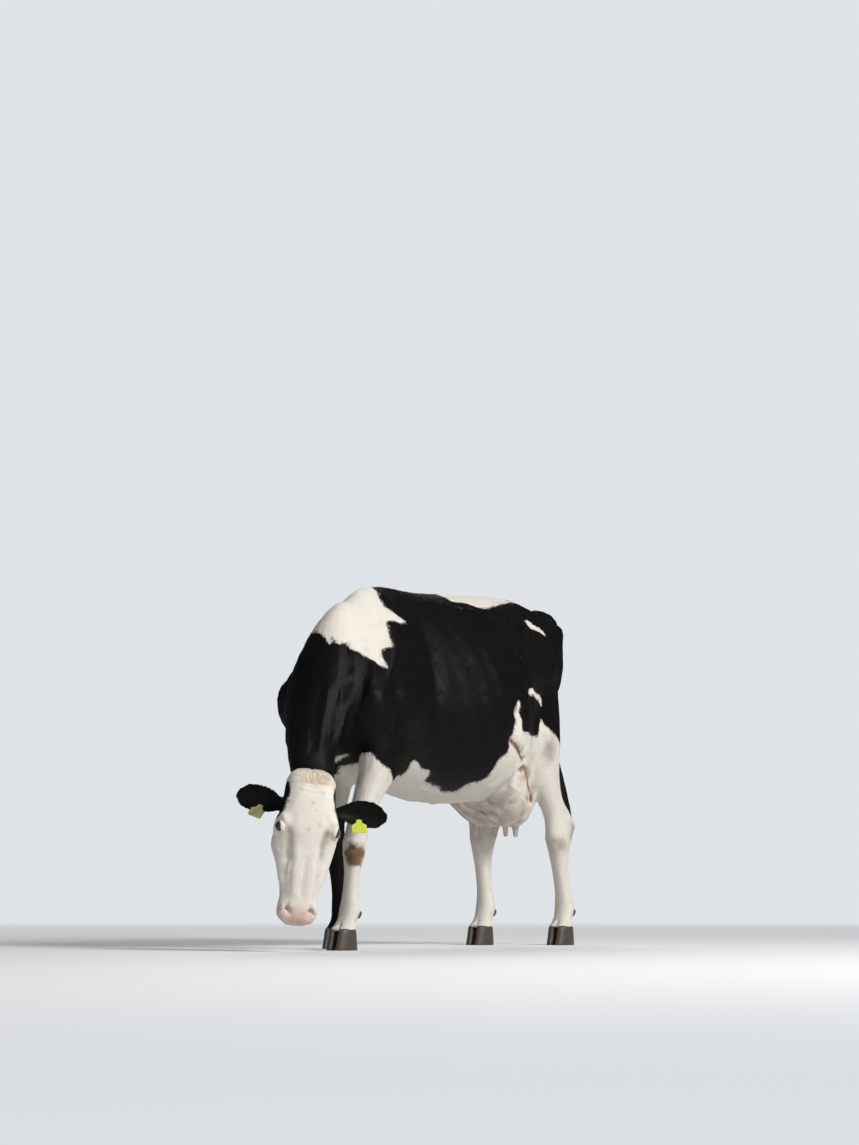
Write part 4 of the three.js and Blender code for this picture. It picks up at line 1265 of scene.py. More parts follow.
@dataclass
class Markings:
    """The colours of the coat at each vertex of the skin."""

    points: Array
    parts: dict[str, Array]

    def all(self) -> dict[str, Array]:
        """Every marking.

        Returns:
            By its name, a number for each vertex.
        """
        return {
            "white": self.white(),
            "brown": self.brown(),
            "pink": self.pink(),
            "cream": self.cream(),
            "grey": self.grey(),
            "bare": self.bare(),
        }

    def white(self) -> Array:
        """How far each vertex lies inside the white coat.

        Returns:
            Metres for each vertex, negative in the black.
        """
        body = self.points - place(0, 0, 0)
        flat = body[:, 1:]
        wobble = 0.004 * ripple(self.points, 0.09, 5)
        left = self._most(flat, SHOULDER_PATCH, BACK_STRIP, RUMP_STREAK, THIGH_ARC, LOWER_LEFT)
        right = self._most(flat, SHOULDER_RIGHT, BACK_RIGHT, BARREL_RIGHT, LOWER_RIGHT)
        share = rise(body[:, 0], -0.03, 0.03)
        coat = np.clip(left, -DEEP, DEEP) * share + np.clip(right, -DEEP, DEEP) * (1 - share)
        coat = np.maximum(coat, self._brisket(body))
        coat = self._blend(coat, self._right_foreleg(body), self.parts["foreleg_right"])
        coat = self._blend(coat, np.full(len(body), DEEP), self.parts["udder"])
        coat = self._blend(coat, self._face(), self.parts["head"] + self.parts["jaw"])
        black = sum(self.parts[name] for name in ("ear_left", "ear_right", "tail", "tail_switch"))
        coat = self._blend(coat, np.full(len(body), -DEEP), black)
        far_neck = self.parts["neck"] * rise(-body[:, 1], 0.49, 0.53)
        coat = self._blend(coat, np.full(len(body), -DEEP), far_neck)
        return np.clip(coat + wobble, -DEEP, DEEP)

    def _shade(self, line: Sequence[Array], width: float, strength: float) -> Array:
        """A painted shade along a line that is laid on the skin."""
        return Stroke(on_surface(line, self.points), width, strength).lifts(self.points)

    def _most(self, flat: Array, *patches: Patch) -> Array:
        """The depth inside whichever patch holds the point."""
        return np.max([patch.depth(flat) for patch in patches], axis=0)

    def _blend(self, under: Array, over: Array, share: Array) -> Array:
        """One marking over another where `share` is high."""
        share = rise(share, 0.35, 0.65)
        return under * (1 - share) + over * share

    def _brisket(self, body: Array) -> Array:
        """White between the forelegs, under a line that rises to the left."""
        x, y, z = body.T
        under = np.minimum(0.715 + 0.19 * x - z, 0.13 - np.abs(x))
        return np.clip(np.minimum(under, np.minimum(y + 0.42, -0.06 - y)), -DEEP, DEEP)

    def _right_foreleg(self, body: Array) -> Array:
        """White on the forearm, black on the knee and under it."""
        return np.clip(np.minimum(body[:, 2] - 0.53, 0.745 - body[:, 2]), -DEEP, DEEP)

    def _face(self) -> Array:
        """The white face with its black temples."""
        head = HEAD.into(self.points)
        return np.clip(-TEMPLE.depth(head[:, 1:]), -DEEP, DEEP)

    def brown(self) -> Array:
        """Brown: the spots of the face, the left knee and the hocks, with painted shade in the
        furrow by the udder and in the hollows under the eyes.

        Returns:
            0 to 1 for each vertex.
        """
        head = HEAD.into(self.points)
        total = np.zeros(len(head))
        is_face = (head[:, 2] > -0.03) & (head[:, 1] < 0.6) & (head[:, 1] > -0.1)
        uneven = 0.8 * ripple(self.points, 0.02, 41)
        for across, down, size, strength in SPOTS:
            away = np.hypot(head[:, 0] - across, head[:, 1] - down) / size
            total += strength * bell(away + uneven) * is_face
        knee = Leg.FORE_LEFT.out(0.15, -0.3, 0.368)
        away = np.linalg.norm((self.points - knee) / np.array((0.045, 0.06, 0.045)), axis=1)
        away += 0.35 * ripple(self.points, 0.035, 31)
        total += 1.3 * rise(-away, -1.25, -0.55) * self.parts["foreleg_left"]
        # Painted shadow: a brown line along the crease between the udder and the thigh
        furrow = self._shade(places(*UDDER_FURROW), 0.01, 1.5)
        total += furrow * (0.9 + 0.4 * ripple(self.points, 0.05, 23))
        # Painted shade: brown in the hollows under the eyes
        for sign, strength in ((1, 0.42), (-1, 0.3)):
            hollow = [HEAD.out(sign * 0.074, 0.23, 0.08), HEAD.out(sign * 0.07, 0.28, 0.066)]
            total += self._shade(hollow, 0.012, strength) * self.parts["head"]
        for leg in (Leg.HIND_LEFT, Leg.HIND_RIGHT):
            hock = leg.out(0.158, 1.12, 0.5)
            total += 0.35 * bell(np.linalg.norm(self.points - hock, axis=1) / 0.05)
        return np.clip(total, 0, 1)

    def pink(self) -> Array:
        """Pink skin: the muzzle, the udder and the patch under the poll.

        Returns:
            0 to 1 for each vertex.
        """
        head = HEAD.into(self.points)
        on_head = self.parts["head"] + self.parts["jaw"]
        muzzle = rise(head[:, 1], 0.49, 0.535) * on_head * 0.55
        pad = rise(head[:, 1], 0.52, 0.55) * rise(-np.abs(head[:, 0]), -0.05, -0.02) * 0.35
        poll = bell(np.hypot((head[:, 0] - 0.012) * 0.8, head[:, 1] - 0.022) / 0.03) * 0.75
        poll *= (head[:, 2] > 0.0) * on_head
        udder = self.parts["udder"] * (0.1 + 0.1 * ripple(self.points, 0.1, 9))
        low = self.points[:, 2]
        udder += self.parts["udder"] * rise(-low, -0.54, -0.47) * 0.42
        return np.clip(muzzle + pad * on_head + poll + udder, 0, 1)

    def cream(self) -> Array:
        """The creamy tuft of the poll and the crest of the shoulder.

        Returns:
            0 to 1 for each vertex.
        """
        head = HEAD.into(self.points)
        away = np.abs(head[:, 1] - 0.006) / 0.036
        on_head = (self.parts["head"]) * (head[:, 2] > -0.06)
        crest = np.linalg.norm(self.points - place(0.0, -0.37, 1.35), axis=1) / 0.11
        return np.clip(0.85 * bell(away) * on_head + 0.35 * bell(crest), 0, 1)

    def grey(self) -> Array:
        """Greyish: veins and mottling on the udder and stains on the left hock, with painted shade
        on the right forearm, the udder's front, the left stifle, the right hock and the face's
        hollows.

        Returns:
            0 to 1 for each vertex.
        """
        body = self.points - place(0, 0, 0)
        # Painted shade: the right forearm, which stands in shadow, is greyed
        forearm = self.parts["foreleg_right"] * rise(body[:, 2], 0.5, 0.55) * 0.35
        veins = self.parts["udder"] * rise(ripple(self.points, 0.05, 17), 0.35, 0.9) * 0.45
        # Painted shade: the udder darkens towards its front and underside, on top of its own
        # mottling
        front_shade = rise(-body[:, 1] - 0.9 * body[:, 2], -1.36, -1.16)
        mottle_and_shade = 0.2 + 1.0 * ripple(self.points, 0.055, 29) + 0.5 * front_shade
        mottle_and_shade = self.parts["udder"] * np.clip(mottle_and_shade, 0, 0.8)
        stains_and_shade = np.zeros(len(body))
        # Greyish patches: real stains on the left hock, painted shade on the left stifle and the
        # right hock
        for leg, x, y, z, size, strength in STAINS_AND_SHADE:
            away = np.linalg.norm(self.points - leg.out(x, y, z), axis=1) / size
            stains_and_shade += strength * bell(away + 0.4 * ripple(self.points, 0.05, 43))
        return np.clip(forearm + veins + mottle_and_shade + stains_and_shade + self._painted_face_shade(), 0, 1)

    def _painted_face_shade(self) -> Array:
        """Painted shade in the hollows under the eyes and beside the nose.

        Returns:
            0 to 1 for each vertex.
        """
        shade = np.zeros(len(self.points))
        for sign, strength in ((1, 0.62), (-1, 0.45)):
            hollow = [
                HEAD.out(sign * 0.078, 0.226, 0.078), HEAD.out(sign * 0.078, 0.262, 0.064),
                HEAD.out(sign * 0.072, 0.31, 0.05),
            ]
            beside = [HEAD.out(sign * 0.066, 0.33, 0.044), HEAD.out(sign * 0.056, 0.47, 0.026)]
            shade += self._shade(hollow, 0.015, strength) + self._shade(beside, 0.016, 0.14)
        return shade * self.parts["head"] * (0.8 + 0.3 * ripple(self.points, 0.03, 37))

    def bare(self) -> Array:
        """Where skin shows with hardly any hair: the muzzle, the teats and the low udder.

        Returns:
            0 to 1 for each vertex.
        """
        head = HEAD.into(self.points)
        on_head = self.parts["head"] + self.parts["jaw"]
        pad = rise(head[:, 1], 0.525, 0.55) * rise(head[:, 2], -0.05, -0.03) * on_head
        low = self.parts["udder"] * rise(-self.points[:, 2], -0.58, -0.5)
        return np.clip(pad + low, 0, 1)


# ---- The skin


FINE_EDGE = 0.0085  # edges this short aren't divided along the markings


@dataclass
class Skin:
    """One closed skin over all the flesh."""

    voxel: float
    faces: int
    landmarks: "Landmarks" = field(init=False)
    surface: Surface = field(init=False)
    parts: dict[str, Array] = field(init=False)

    def build(self) -> Object:
        """Makes the skin and gives it its form and its unwrap.

        Returns:
            The finished piece, not yet coloured.
        """
        mesh = self._merge()
        self.surface = Surface.of(mesh)
        self.parts = self._parts(rounds=6)
        self._soften()
        points = self.surface.points
        body = [
            Stroke(on_surface(stroke.line, points), stroke.width, stroke.lift)
            for stroke in (*torso_strokes(), *neck_strokes(), *udder_strokes())
        ]
        self._press([*body, *self._leg_strokes()])
        self._inset()
        self.surface.store()
        mesh = self._thin(mesh)
        mesh = self._refine(mesh)
        for _ in range(3):
            mesh = self._refine_edges(mesh)
        self.surface = Surface.of(mesh)
        self.parts = self._parts(rounds=5)
        self._model_head()
        self.surface.store()
        thing = link("skin", mesh)
        self._unwrap(thing)
        shade_smooth(mesh)
        return thing

    def _merge(self) -> Mesh:
        """Smooths each node of flesh and merges them all, with the eyes, into one shell.

        Returns:
            The shell.
        """
        sharp = math.radians(48)
        whole = bmesh.new()
        spots = []
        for name in FLESH:
            shape = creased(name, lambda edge: float(edge.calc_face_angle() > sharp))
            mesh = subdivided(shape, name + "_round")
            spots.append((name, read_points(mesh)))
            whole.from_mesh(mesh)
        for name in ("eye_left", "eye_right"):
            plug = bmesh.new()
            plug.from_mesh(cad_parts[name].data)
            centre = sum((v.co for v in plug.verts), Vector()) / len(plug.verts)
            bmesh.ops.scale(
                plug, vec=(1.04,) * 3, space=Matrix.Translation(-centre), verts=plug.verts
            )
            whole.from_mesh(finished(plug, name))
        self.landmarks = Landmarks.of(spots)
        thing = link("flesh", finished(whole, "flesh"))
        remesh = thing.modifiers.new("one_shell", "REMESH")
        remesh.mode = "VOXEL"
        remesh.voxel_size = self.voxel
        return self._outer(settle(thing))

    def _outer(self, mesh: Mesh) -> Mesh:
        """Drops every shell but the largest, which is the outer one.

        Args:
            mesh: the shells.

        Returns:
            The same mesh with one shell.
        """
        pairs = read_edges(mesh)
        group = np.arange(len(mesh.vertices))
        while True:
            low = np.minimum(group[pairs[:, 0]], group[pairs[:, 1]])
            new = group.copy()
            np.minimum.at(new, pairs[:, 0], low)
            np.minimum.at(new, pairs[:, 1], low)
            new = new[new]
            new = new[new]
            if np.array_equal(new, group):
                break
            group = new
        names, sizes = np.unique(group, return_counts=True)
        keep = group == names[sizes.argmax()]
        shell = bmesh.new()
        shell.from_mesh(mesh)
        shell.verts.ensure_lookup_table()
        bmesh.ops.delete(shell, geom=[v for v in shell.verts if not keep[v.index]], context="VERTS")
        shell.to_mesh(mesh)
        shell.free()
        return mesh

    def _parts(self, rounds: int) -> dict[str, Array]:
        """How much each vertex belongs to each part.

        Args:
            rounds: over how many neighbours it is softened.

        Returns:
            By the part's name, 0 to 1 for each vertex.
        """
        nearest = self.landmarks.nearest(self.surface.points)
        parts = {}
        for i, name in enumerate(FLESH):
            share = (nearest == i).astype(np.float64)
            for _ in range(rounds):
                share = self.surface.average(share)
            parts[name] = share
        return parts

    def _soften(self) -> None:
        """Smooths the shell, most where two parts meet."""
        surface = self.surface
        scale = self.voxel / 0.004
        small = ("head", "jaw", "ear_left", "ear_right", "tail", "tail_switch")
        fine = np.clip(sum(self.parts[name] for name in small) + self._teats(), 0, 1)
        surface.smooth(np.full(len(surface.points), 0.5), round(5 / scale))
        surface.smooth(0.6 * (1 - fine), round(14 / scale))
        seam = np.zeros(len(surface.points))
        meets = (
            ("trunk", "neck", 1.0), ("trunk", "foreleg_left", 1.0), ("trunk", "foreleg_right", 1.0),
            ("trunk", "hindleg_left", 1.0), ("trunk", "hindleg_right", 1.0),
            ("trunk", "udder", 0.5), ("udder", "hindleg_left", 0.25),
            ("udder", "hindleg_right", 0.25), ("trunk", "tail", 0.5), ("neck", "head", 0.8),
            ("neck", "jaw", 0.6), ("neck", "foreleg_left", 0.8), ("neck", "foreleg_right", 0.8),
            ("head", "ear_left", 0.35), ("head", "ear_right", 0.35),
        )
        for first, second, strength in meets:
            near = 4 * self.parts[first] * self.parts[second]
            seam = np.maximum(seam, strength * np.clip(near * 1.5, 0, 1))
        spreading = seam.copy()
        for _ in range(round(60 / scale)):
            spreading = surface.average(spreading)
        seam = np.clip(np.maximum(seam, spreading * 3.0), 0, 1) * (1 - 0.75 * fine)
        surface.smooth(0.9 * seam, round(110 / scale))

    def _teats(self) -> Array:
        """1 on the teats, 0 elsewhere."""
        return self.parts["udder"] * rise(-self.surface.points[:, 2], -0.52, -0.495)

    def _leg_strokes(self) -> list[Stroke]:
        """The strokes of all four legs.

        Returns:
            The strokes, leg by leg.
        """
        strokes = []
        for leg in Leg:
            strokes += foreleg_strokes(leg) if leg.is_fore else hindleg_strokes(leg)
        return strokes

    def _press(self, strokes: Sequence[Stroke]) -> None:
        """Lifts the surface along its normals.

        Args:
            strokes: by how much.
        """
        normals = self.surface.normals()
        points = self.surface.points
        lifts = np.zeros(len(points))
        for stroke in strokes:
            lifts += stroke.lifts(points)
        lifts = self.surface.average(lifts)
        self.surface.points = points + normals * lifts[:, None]

    def _inset(self) -> None:
        """Draws the skin in by the depth of the coat."""
        thin = self.parts["ear_left"] + self.parts["ear_right"]
        head = self.parts["head"] + self.parts["jaw"]
        depth = 0.0035 - 0.0025 * np.clip(thin, 0, 1) - 0.0015 * np.clip(head, 0, 1)
        legs = sum(self.parts[name] for name in FLESH if "leg" in name)
        depth -= 0.0015 * np.clip(legs, 0, 1)
        depth *= 1 - self._teats()
        poll = np.linalg.norm(self.surface.points - HEAD.out(0, 0.0, 0.01), axis=1) / 0.07
        depth += 0.005 * bell(poll)
        self.surface.points -= self.surface.normals() * depth[:, None]

    def _thin(self, mesh: Mesh) -> Mesh:
        """Reduces the mesh.

        Args:
            mesh: the merged skin.

        Returns:
            A mesh of about `faces` triangles, the smallest on the head and feet.
        """
        keep = np.clip(self.parts["head"] + self.parts["jaw"], 0, 1)
        ears = self.parts["ear_left"] + self.parts["ear_right"]
        legs = sum(self.parts[name] for name in FLESH if "leg" in name)
        low = rise(-self.surface.points[:, 2], -0.6, -0.45)
        weight = np.clip(keep + 0.6 * ears + 0.25 * legs * low, 0, 1)
        thing = link("thin", mesh)
        group = thing.vertex_groups.new(name="fine")
        for step in range(1, 11):
            chosen = np.flatnonzero(np.round(weight * 10) == step)
            group.add(chosen.tolist(), step / 10, "REPLACE")
        thinning = thing.modifiers.new("thin", "DECIMATE")
        thinning.ratio = min(self.faces / (2 * len(mesh.polygons)), 1.0)
        thinning.use_collapse_triangulate = True
        thinning.vertex_group = "fine"
        thinning.invert_vertex_group = True
        thinning.vertex_group_factor = 1.0
        return settle(thing)

    def _refine(self, mesh: Mesh) -> Mesh:
        """Divides the faces round the eyes, nostrils and mouth.

        Args:
            mesh: the thinned skin.

        Returns:
            The same mesh, finer there.
        """
        zones = [(eye.centre(), 0.036) for eye in EYES]
        zones += [(HEAD.out(side.value * 0.044, 0.535, 0.03), 0.028) for side in Side]
        zones += [(HEAD.out(side.value * 0.06, 0.545, -0.034), 0.026) for side in Side]
        zones += [(HEAD.out(side.value * 0.074, 0.49, -0.052), 0.03) for side in Side]
        zones += [(HEAD.out(0, 0.572, -0.01), 0.03)]
        fine = bmesh.new()
        fine.from_mesh(mesh)
        lids = [(eye.centre(), 0.027) for eye in EYES]
        for limit, near in ((0.0042, zones), (0.003, zones), (0.0016, lids)):
            edges = [
                edge
                for edge in fine.edges
                if edge.calc_length() > limit
                and any((edge.verts[0].co - Vector(at)).length < reach for at, reach in near)
            ]
            divide(fine, edges)
        bmesh.ops.recalc_face_normals(fine, faces=fine.faces)
        fine.to_mesh(mesh)
        fine.free()
        return mesh

    def _refine_edges(self, mesh: Mesh) -> Mesh:
        """Divides the faces where black meets white, and along the udder's furrow.

        Args:
            mesh: the skin.

        Returns:
            The same mesh, finer there.
        """
        self.surface = Surface.of(mesh)
        self.parts = self._parts(rounds=3)
        points = self.surface.points
        white = np.abs(Markings(points, self.parts).white())
        furrow = Stroke(on_surface(places(*UDDER_FURROW), points), 0.022, 1.0).lifts(points)
        fine = bmesh.new()
        fine.from_mesh(mesh)
        edges = []
        for edge in fine.edges:
            first, second = (vert.index for vert in edge.verts)
            length = edge.calc_length()
            near = min(white[first], white[second]) < 0.8 * length + 0.001
            if length > FINE_EDGE and (near or furrow[first] + furrow[second] > 0.6):
                edges.append(edge)
        divide(fine, edges)
        fine.to_mesh(mesh)
        fine.free()
        return mesh

    def _model_head(self) -> None:
        """Presses in the head's bones, folds, eyes and ears."""
        surface = self.surface
        head = np.clip(self.parts["head"] + self.parts["jaw"], 0, 1)
        surface.smooth(0.4 * head, 3)
        strokes = head_strokes()
        for ear in EARS:
            strokes += ear_strokes(ear)
        self._press(strokes)
        for eye in EYES:
            self._open_lids(eye)

    def _open_lids(self, eye: EyeFrame) -> None:
        """Lays the lids round the ball and opens the slit between them.

        Args:
            eye: which eye.
        """
        points = self.surface.points
        local = eye.into(points)
        reach = np.linalg.norm(local, axis=1)
        near = (reach < 0.05) & (local[:, 2] > 0)
        slit = np.abs(local[:, 0] / eye.half_long) ** 1.7
        slit += np.abs(local[:, 1] / eye.half_high) ** 2.0
        over = eye.radius + 0.0028 + 0.0012 * bell((slit - 1.6) / 0.9)
        inner = eye.radius - 0.004
        way = local / np.maximum(reach[:, None], 1e-6)
        lid = np.where(reach < over, over, reach)
        fade = rise(reach, 0.03, 0.048)
        lid = lid * (1 - fade) + reach * fade
        to_lid = np.clip(1.0 - (reach - over) / 0.012, 0, 1) * rise(-slit, -3.4, -1.6)
        lid = lid - (lid - over) * to_lid * 0.75
        aim = np.where(slit < 1.0, inner, lid)
        moved = local.copy()
        moved[near] = way[near] * aim[near][:, None]
        self.surface.points = eye.centre() + moved @ eye.basis().T

    def _unwrap(self, thing: Object) -> None:
        """Lays the skin out flat for baking.

        Args:
            thing: the skin.
        """
        bpy.context.view_layer.objects.active = thing
        thing.select_set(True)
        bpy.ops.object.mode_set(mode="EDIT")
        bpy.ops.mesh.select_all(action="SELECT")
        bpy.ops.uv.smart_project(angle_limit=math.radians(66), island_margin=0.002)
        bpy.ops.object.mode_set(mode="OBJECT")
        thing.select_set(False)
        thing.data.uv_layers[0].name = "OFBake"


@dataclass
class Landmarks:
    """Which part each place of the body belongs to."""

    tree: KDTree
    owners: Array

    @classmethod
    def of(cls, spots: Sequence[tuple[str, Array]]) -> "Landmarks":
        """Collects the parts' points.

        Args:
            spots: each part's name and points.

        Returns:
            The landmarks, ready to be asked.
        """
        total = sum(len(points) for _, points in spots)
        tree = KDTree(total)
        owners = np.empty(total, np.int32)
        index = 0
        for name, points in spots:
            for point in points:
                tree.insert(point, index)
                owners[index] = FLESH.index(name)
                index += 1
        tree.balance()
        return cls(tree, owners)

    def nearest(self, points: Array) -> Array:
        """The place in FLESH of the part nearest to each point."""
        found = [self.tree.find(point)[1] for point in points.tolist()]
        return self.owners[np.array(found)]


# ---- The coat


REGIONS = ("fore_left", "fore_right", "rear_left", "rear_right", "head")
MOST_TUFTS = 32000  # in one piece of the coat
# The faces of a tuft: its root, then its left, right and top corners, then its tip
TUFT = np.array(((0, 3, 1), (0, 1, 2), (0, 2, 3), (4, 1, 3), (4, 2, 1), (4, 3, 2)))


@dataclass
class CoatMap:
    """What the coat does at each vertex of the skin."""

    flow: Array
    length: Array
    width: Array
    lift: Array
    density: Array


@dataclass
class Coat:
    """The whole coat: its lie, its markings and its tufts."""

    skin: Skin
    thing: Object
    count: int
    lie: CoatMap = field(init=False)
    values: dict[str, Array] = field(init=False)
    tree: BVHTree = field(init=False)

    def __post_init__(self) -> None:
        """Works out the markings and the lie of the hair over the skin."""
        surface = self.skin.surface
        normals = surface.normals()
        self.values = Markings(surface.points, self.skin.parts).all()
        flow = self._flow(normals)
        self.lie = CoatMap(flow, *self._sizes())
        mesh = self.thing.data
        for name, values in self.values.items():
            spread(mesh, name, values)
        spread(mesh, "tone", np.full(len(surface.points), 0.35))
        self.values["lie"] = self._along(flow)
        spread(mesh, "lie", self.values["lie"])

    def _flow(self, normals: Array) -> Array:
        """The way the hair lies.

        Args:
            normals: the skin's normals.

        Returns:
            A unit vector along the skin for each vertex.
        """
        points = self.skin.surface.points
        parts = self.skin.parts
        body = points - place(0, 0, 0)
        side = np.sign(body[:, 0])[:, None]
        one = np.ones(len(points))[:, None]
        high = rise(body[:, 2], 1.15, 1.42)[:, None]
        rump = rise(body[:, 1], 0.85, 1.1)[:, None]
        chest = rise(-body[:, 1], 0.18, 0.36)[:, None]
        trunk = one * np.array((0, 0.72, -0.7)) * (1 - high) + high * np.array((0, 1.0, -0.18))
        trunk = trunk + side * high * np.array((0.35, 0, 0))
        trunk = trunk * (1 - rump) + rump * np.array((0, 0.25, -1.0))
        trunk = trunk * (1 - chest) + chest * np.array((0, 0.25, -0.97))
        neck = one * np.array((-0.25, 0.55, 0.35)) + np.array((0, 0, -0.55)) * rise(
            -body[:, 2], -1.0, -0.7
        )[:, None]
        leg = one * np.array((0, 0.22, -1.0))
        tail = one * np.array((0, 0.25, -1.0))
        udder = one * np.array((0, -0.45, -0.9))
        face = self._face_flow(points)
        ways = {
            "trunk": trunk, "neck": neck, "foreleg_left": leg, "foreleg_right": leg,
            "hindleg_left": leg, "hindleg_right": leg, "tail": tail, "tail_switch": tail,
            "udder": udder, "head": face, "jaw": face,
        }
        for ear, name in zip(EARS, ("ear_left", "ear_right")):
            ways[name] = one * ear.way(1.0, 0.0, 0.0)
        flow = sum(ways[name] * parts[name][:, None] for name in FLESH)
        flow = flow - normals * np.sum(flow * normals, axis=1)[:, None]
        flow = unit(flow)
        for _ in range(10):
            flow = self.skin.surface.average(flow)
            flow = unit(flow - normals * np.sum(flow * normals, axis=1)[:, None])
        return flow

    def _face_flow(self, points: Array) -> Array:
        """Hair of the face: away from a whorl on the forehead, back over the cheeks.

        Args:
            points: where, in the row frame.

        Returns:
            A vector in the row frame for each point.
        """
        head = HEAD.into(points)
        across = head[:, 0]
        down = head[:, 1] - 0.165
        from_whorl = np.column_stack((across, down, np.zeros(len(head))))
        swirl = np.column_stack((-down, across, np.zeros(len(head)))) * 0.5
        near = bell(np.hypot(across, down) / 0.05)[:, None]
        face = unit(from_whorl + swirl * near)
        cheek = np.array((0.0, -0.25, -1.0))
        muzzle = np.array((0.0, 0.9, -0.5))
        is_cheek = rise(-head[:, 2], -0.02, 0.06)[:, None]
        is_muzzle = rise(head[:, 1], 0.33, 0.46)[:, None]
        way = face * (1 - is_cheek) + cheek * is_cheek
        way = way * (1 - 0.6 * is_muzzle) + muzzle * 0.6 * is_muzzle
        fringe = rise(-head[:, 1], -0.046, -0.026)[:, None]
        fall = np.column_stack((across * 2.5, np.full(len(head), 1.0), np.zeros(len(head))))
        way = way * (1 - fringe) + fall * fringe
        axes = np.column_stack((HEAD.way(1, 0, 0), HEAD.way(0, 1, 0), HEAD.way(0, 0, 1)))
        return way @ axes.T

    def _along(self, flow: Array) -> Array:
        """Coordinates that run slowly along the hair, for its streaks.

        Args:
            flow: the lie of the hair at each vertex.

        Returns:
            A place for each vertex.
        """
        points = self.skin.surface.points
        steady = flow.copy()
        for _ in range(30):
            steady = self.skin.surface.average(steady)
        steady = unit(steady)
        run = np.sum(points * steady, axis=1)[:, None]
        return points - steady * run * 0.86

    def _sizes(self) -> tuple[Array, Array, Array, Array]:
        """The sizes of the tufts.

        Returns:
            Their length, width, lift and density at each vertex.
        """
        points = self.skin.surface.points
        parts = self.skin.parts
        body = points - place(0, 0, 0)
        head = HEAD.into(points)
        legs = sum(parts[name] for name in FLESH if "leg" in name)
        on_head = np.clip(parts["head"] + parts["jaw"], 0, 1)
        ears = np.clip(parts["ear_left"] + parts["ear_right"], 0, 1)
        lower = rise(-body[:, 2], -0.75, -0.6) * legs
        length = 0.014 + 0.002 * parts["neck"]
        length += 0.007 * parts["trunk"] * rise(-body[:, 2], -0.74, -0.62)
        length += 0.007 * parts["neck"] * rise(-body[:, 2], -0.84, -0.72)
        length = length * (1 - lower) + 0.009 * lower
        face = 0.007 - 0.002 * rise(head[:, 1], 0.42, 0.52)
        length = length * (1 - on_head) + face * on_head
        poll = bell((head[:, 1] + 0.002) / 0.034) * parts["head"] * (head[:, 2] > -0.08)
        length += 0.03 * poll * rise(head[:, 2], -0.02, 0.02)
        jaw_edge = rise(-head[:, 2], 0.09, 0.13) * parts["jaw"]
        length += 0.008 * jaw_edge
        length = length * (1 - ears) + 0.009 * ears
        for ear in EARS:
            local = ear.into(points)
            is_here = parts["ear_left" if ear.side is Side.LEFT else "ear_right"]
            mouth = bell((local[:, 1] + 0.004) / 0.016) * rise(local[:, 0], 0.0, 0.03)
            low_edge = rise(-local[:, 2], 0.028, 0.05)
            length += 0.008 * is_here * mouth * (1 - low_edge) + 0.007 * is_here * low_edge
        length = length * (1 - parts["udder"]) + 0.006 * parts["udder"]
        length = length * (1 - parts["tail"]) + 0.014 * parts["tail"]
        length = length * (1 - parts["tail_switch"]) + 0.1 * parts["tail_switch"]
        width = 0.0016 + 0.072 * length
        width = width - 0.0038 * parts["tail_switch"]
        lift = 0.08 + 0.02 * poll + 0.04 * ears + 0.03 * lower
        lift += 0.04 * rise(-body[:, 2], -0.7, -0.6) * parts["trunk"]
        density = (0.014 / length) ** 1.25
        density = np.minimum(density, 3.2) * (1 + 1.6 * poll)
        density = density * (1 - 0.85 * self.values["bare"])
        density *= 1 - 0.55 * parts["udder"]
        density += parts["tail_switch"] * 3.0
        for eye in EYES:
            local = eye.into(points)
            slit = (local[:, 0] / eye.half_long) ** 2 + (local[:, 1] / eye.half_high) ** 2
            is_eye = (np.linalg.norm(local, axis=1) < 0.034) & (local[:, 2] > 0)
            density *= np.where(is_eye, rise(slit, 1.25, 1.9), 1.0)
            length *= np.where(is_eye, 0.75, 1.0)
        return length, width, lift, density

    def build(self, material: Material) -> list[Object]:
        """Grows all the tufts.

        Args:
            material: the finish of the coat.

        Returns:
            The pieces of the coat.
        """
        self.tree = BVHTree.FromPolygons(
            self.skin.surface.points.tolist(),
            [tuple(face.vertices) for face in self.thing.data.polygons],
        )
        roots = self._sow()
        order = self._region(roots)
        pieces = []
        for region in range(int(order.max()) + 1):
            chosen = np.flatnonzero(order == region)
            for part in range(0, len(chosen), MOST_TUFTS):
                name = f"coat_{REGIONS[region]}_{part // MOST_TUFTS + 1}"
                pieces.append(self._grow(name, roots, chosen[part:part + MOST_TUFTS], material))
        return pieces

    def _sow(self) -> dict[str, Array]:
        """Scatters the roots over the skin, denser where the hair is short.

        Returns:
            By its name, everything that is known at the roots.
        """
        mesh = self.thing.data
        rng = np.random.default_rng(SEED)
        mesh.calc_loop_triangles()
        count = len(mesh.polygons)
        corners = np.empty(count * 3, np.int32)
        mesh.polygons.foreach_get("vertices", corners)
        corners = corners.reshape(-1, 3)
        uvs = np.empty(count * 6, np.float32)
        mesh.uv_layers["OFBake"].data.foreach_get("uv", uvs)
        uvs = uvs.reshape(-1, 3, 2)
        points = self.skin.surface.points
        a, b, c = (points[corners[:, i]] for i in range(3))
        area = np.linalg.norm(np.cross(b - a, c - a), axis=1) / 2
        weight = area * self.lie.density[corners].mean(axis=1)
        total = np.cumsum(weight)
        picks = (np.arange(self.count) + rng.random(self.count)) / self.count * total[-1]
        face = np.minimum(np.searchsorted(total, picks), count - 1)
        first, second = rng.random((2, self.count))
        root = np.sqrt(first)
        share = np.column_stack((1 - root, root * (1 - second), root * second))
        corner = corners[face]

        def at(values: Array) -> Array:
            """The vertices' values at the roots."""
            return np.einsum("ij,ij...->i...", share, values[corner])

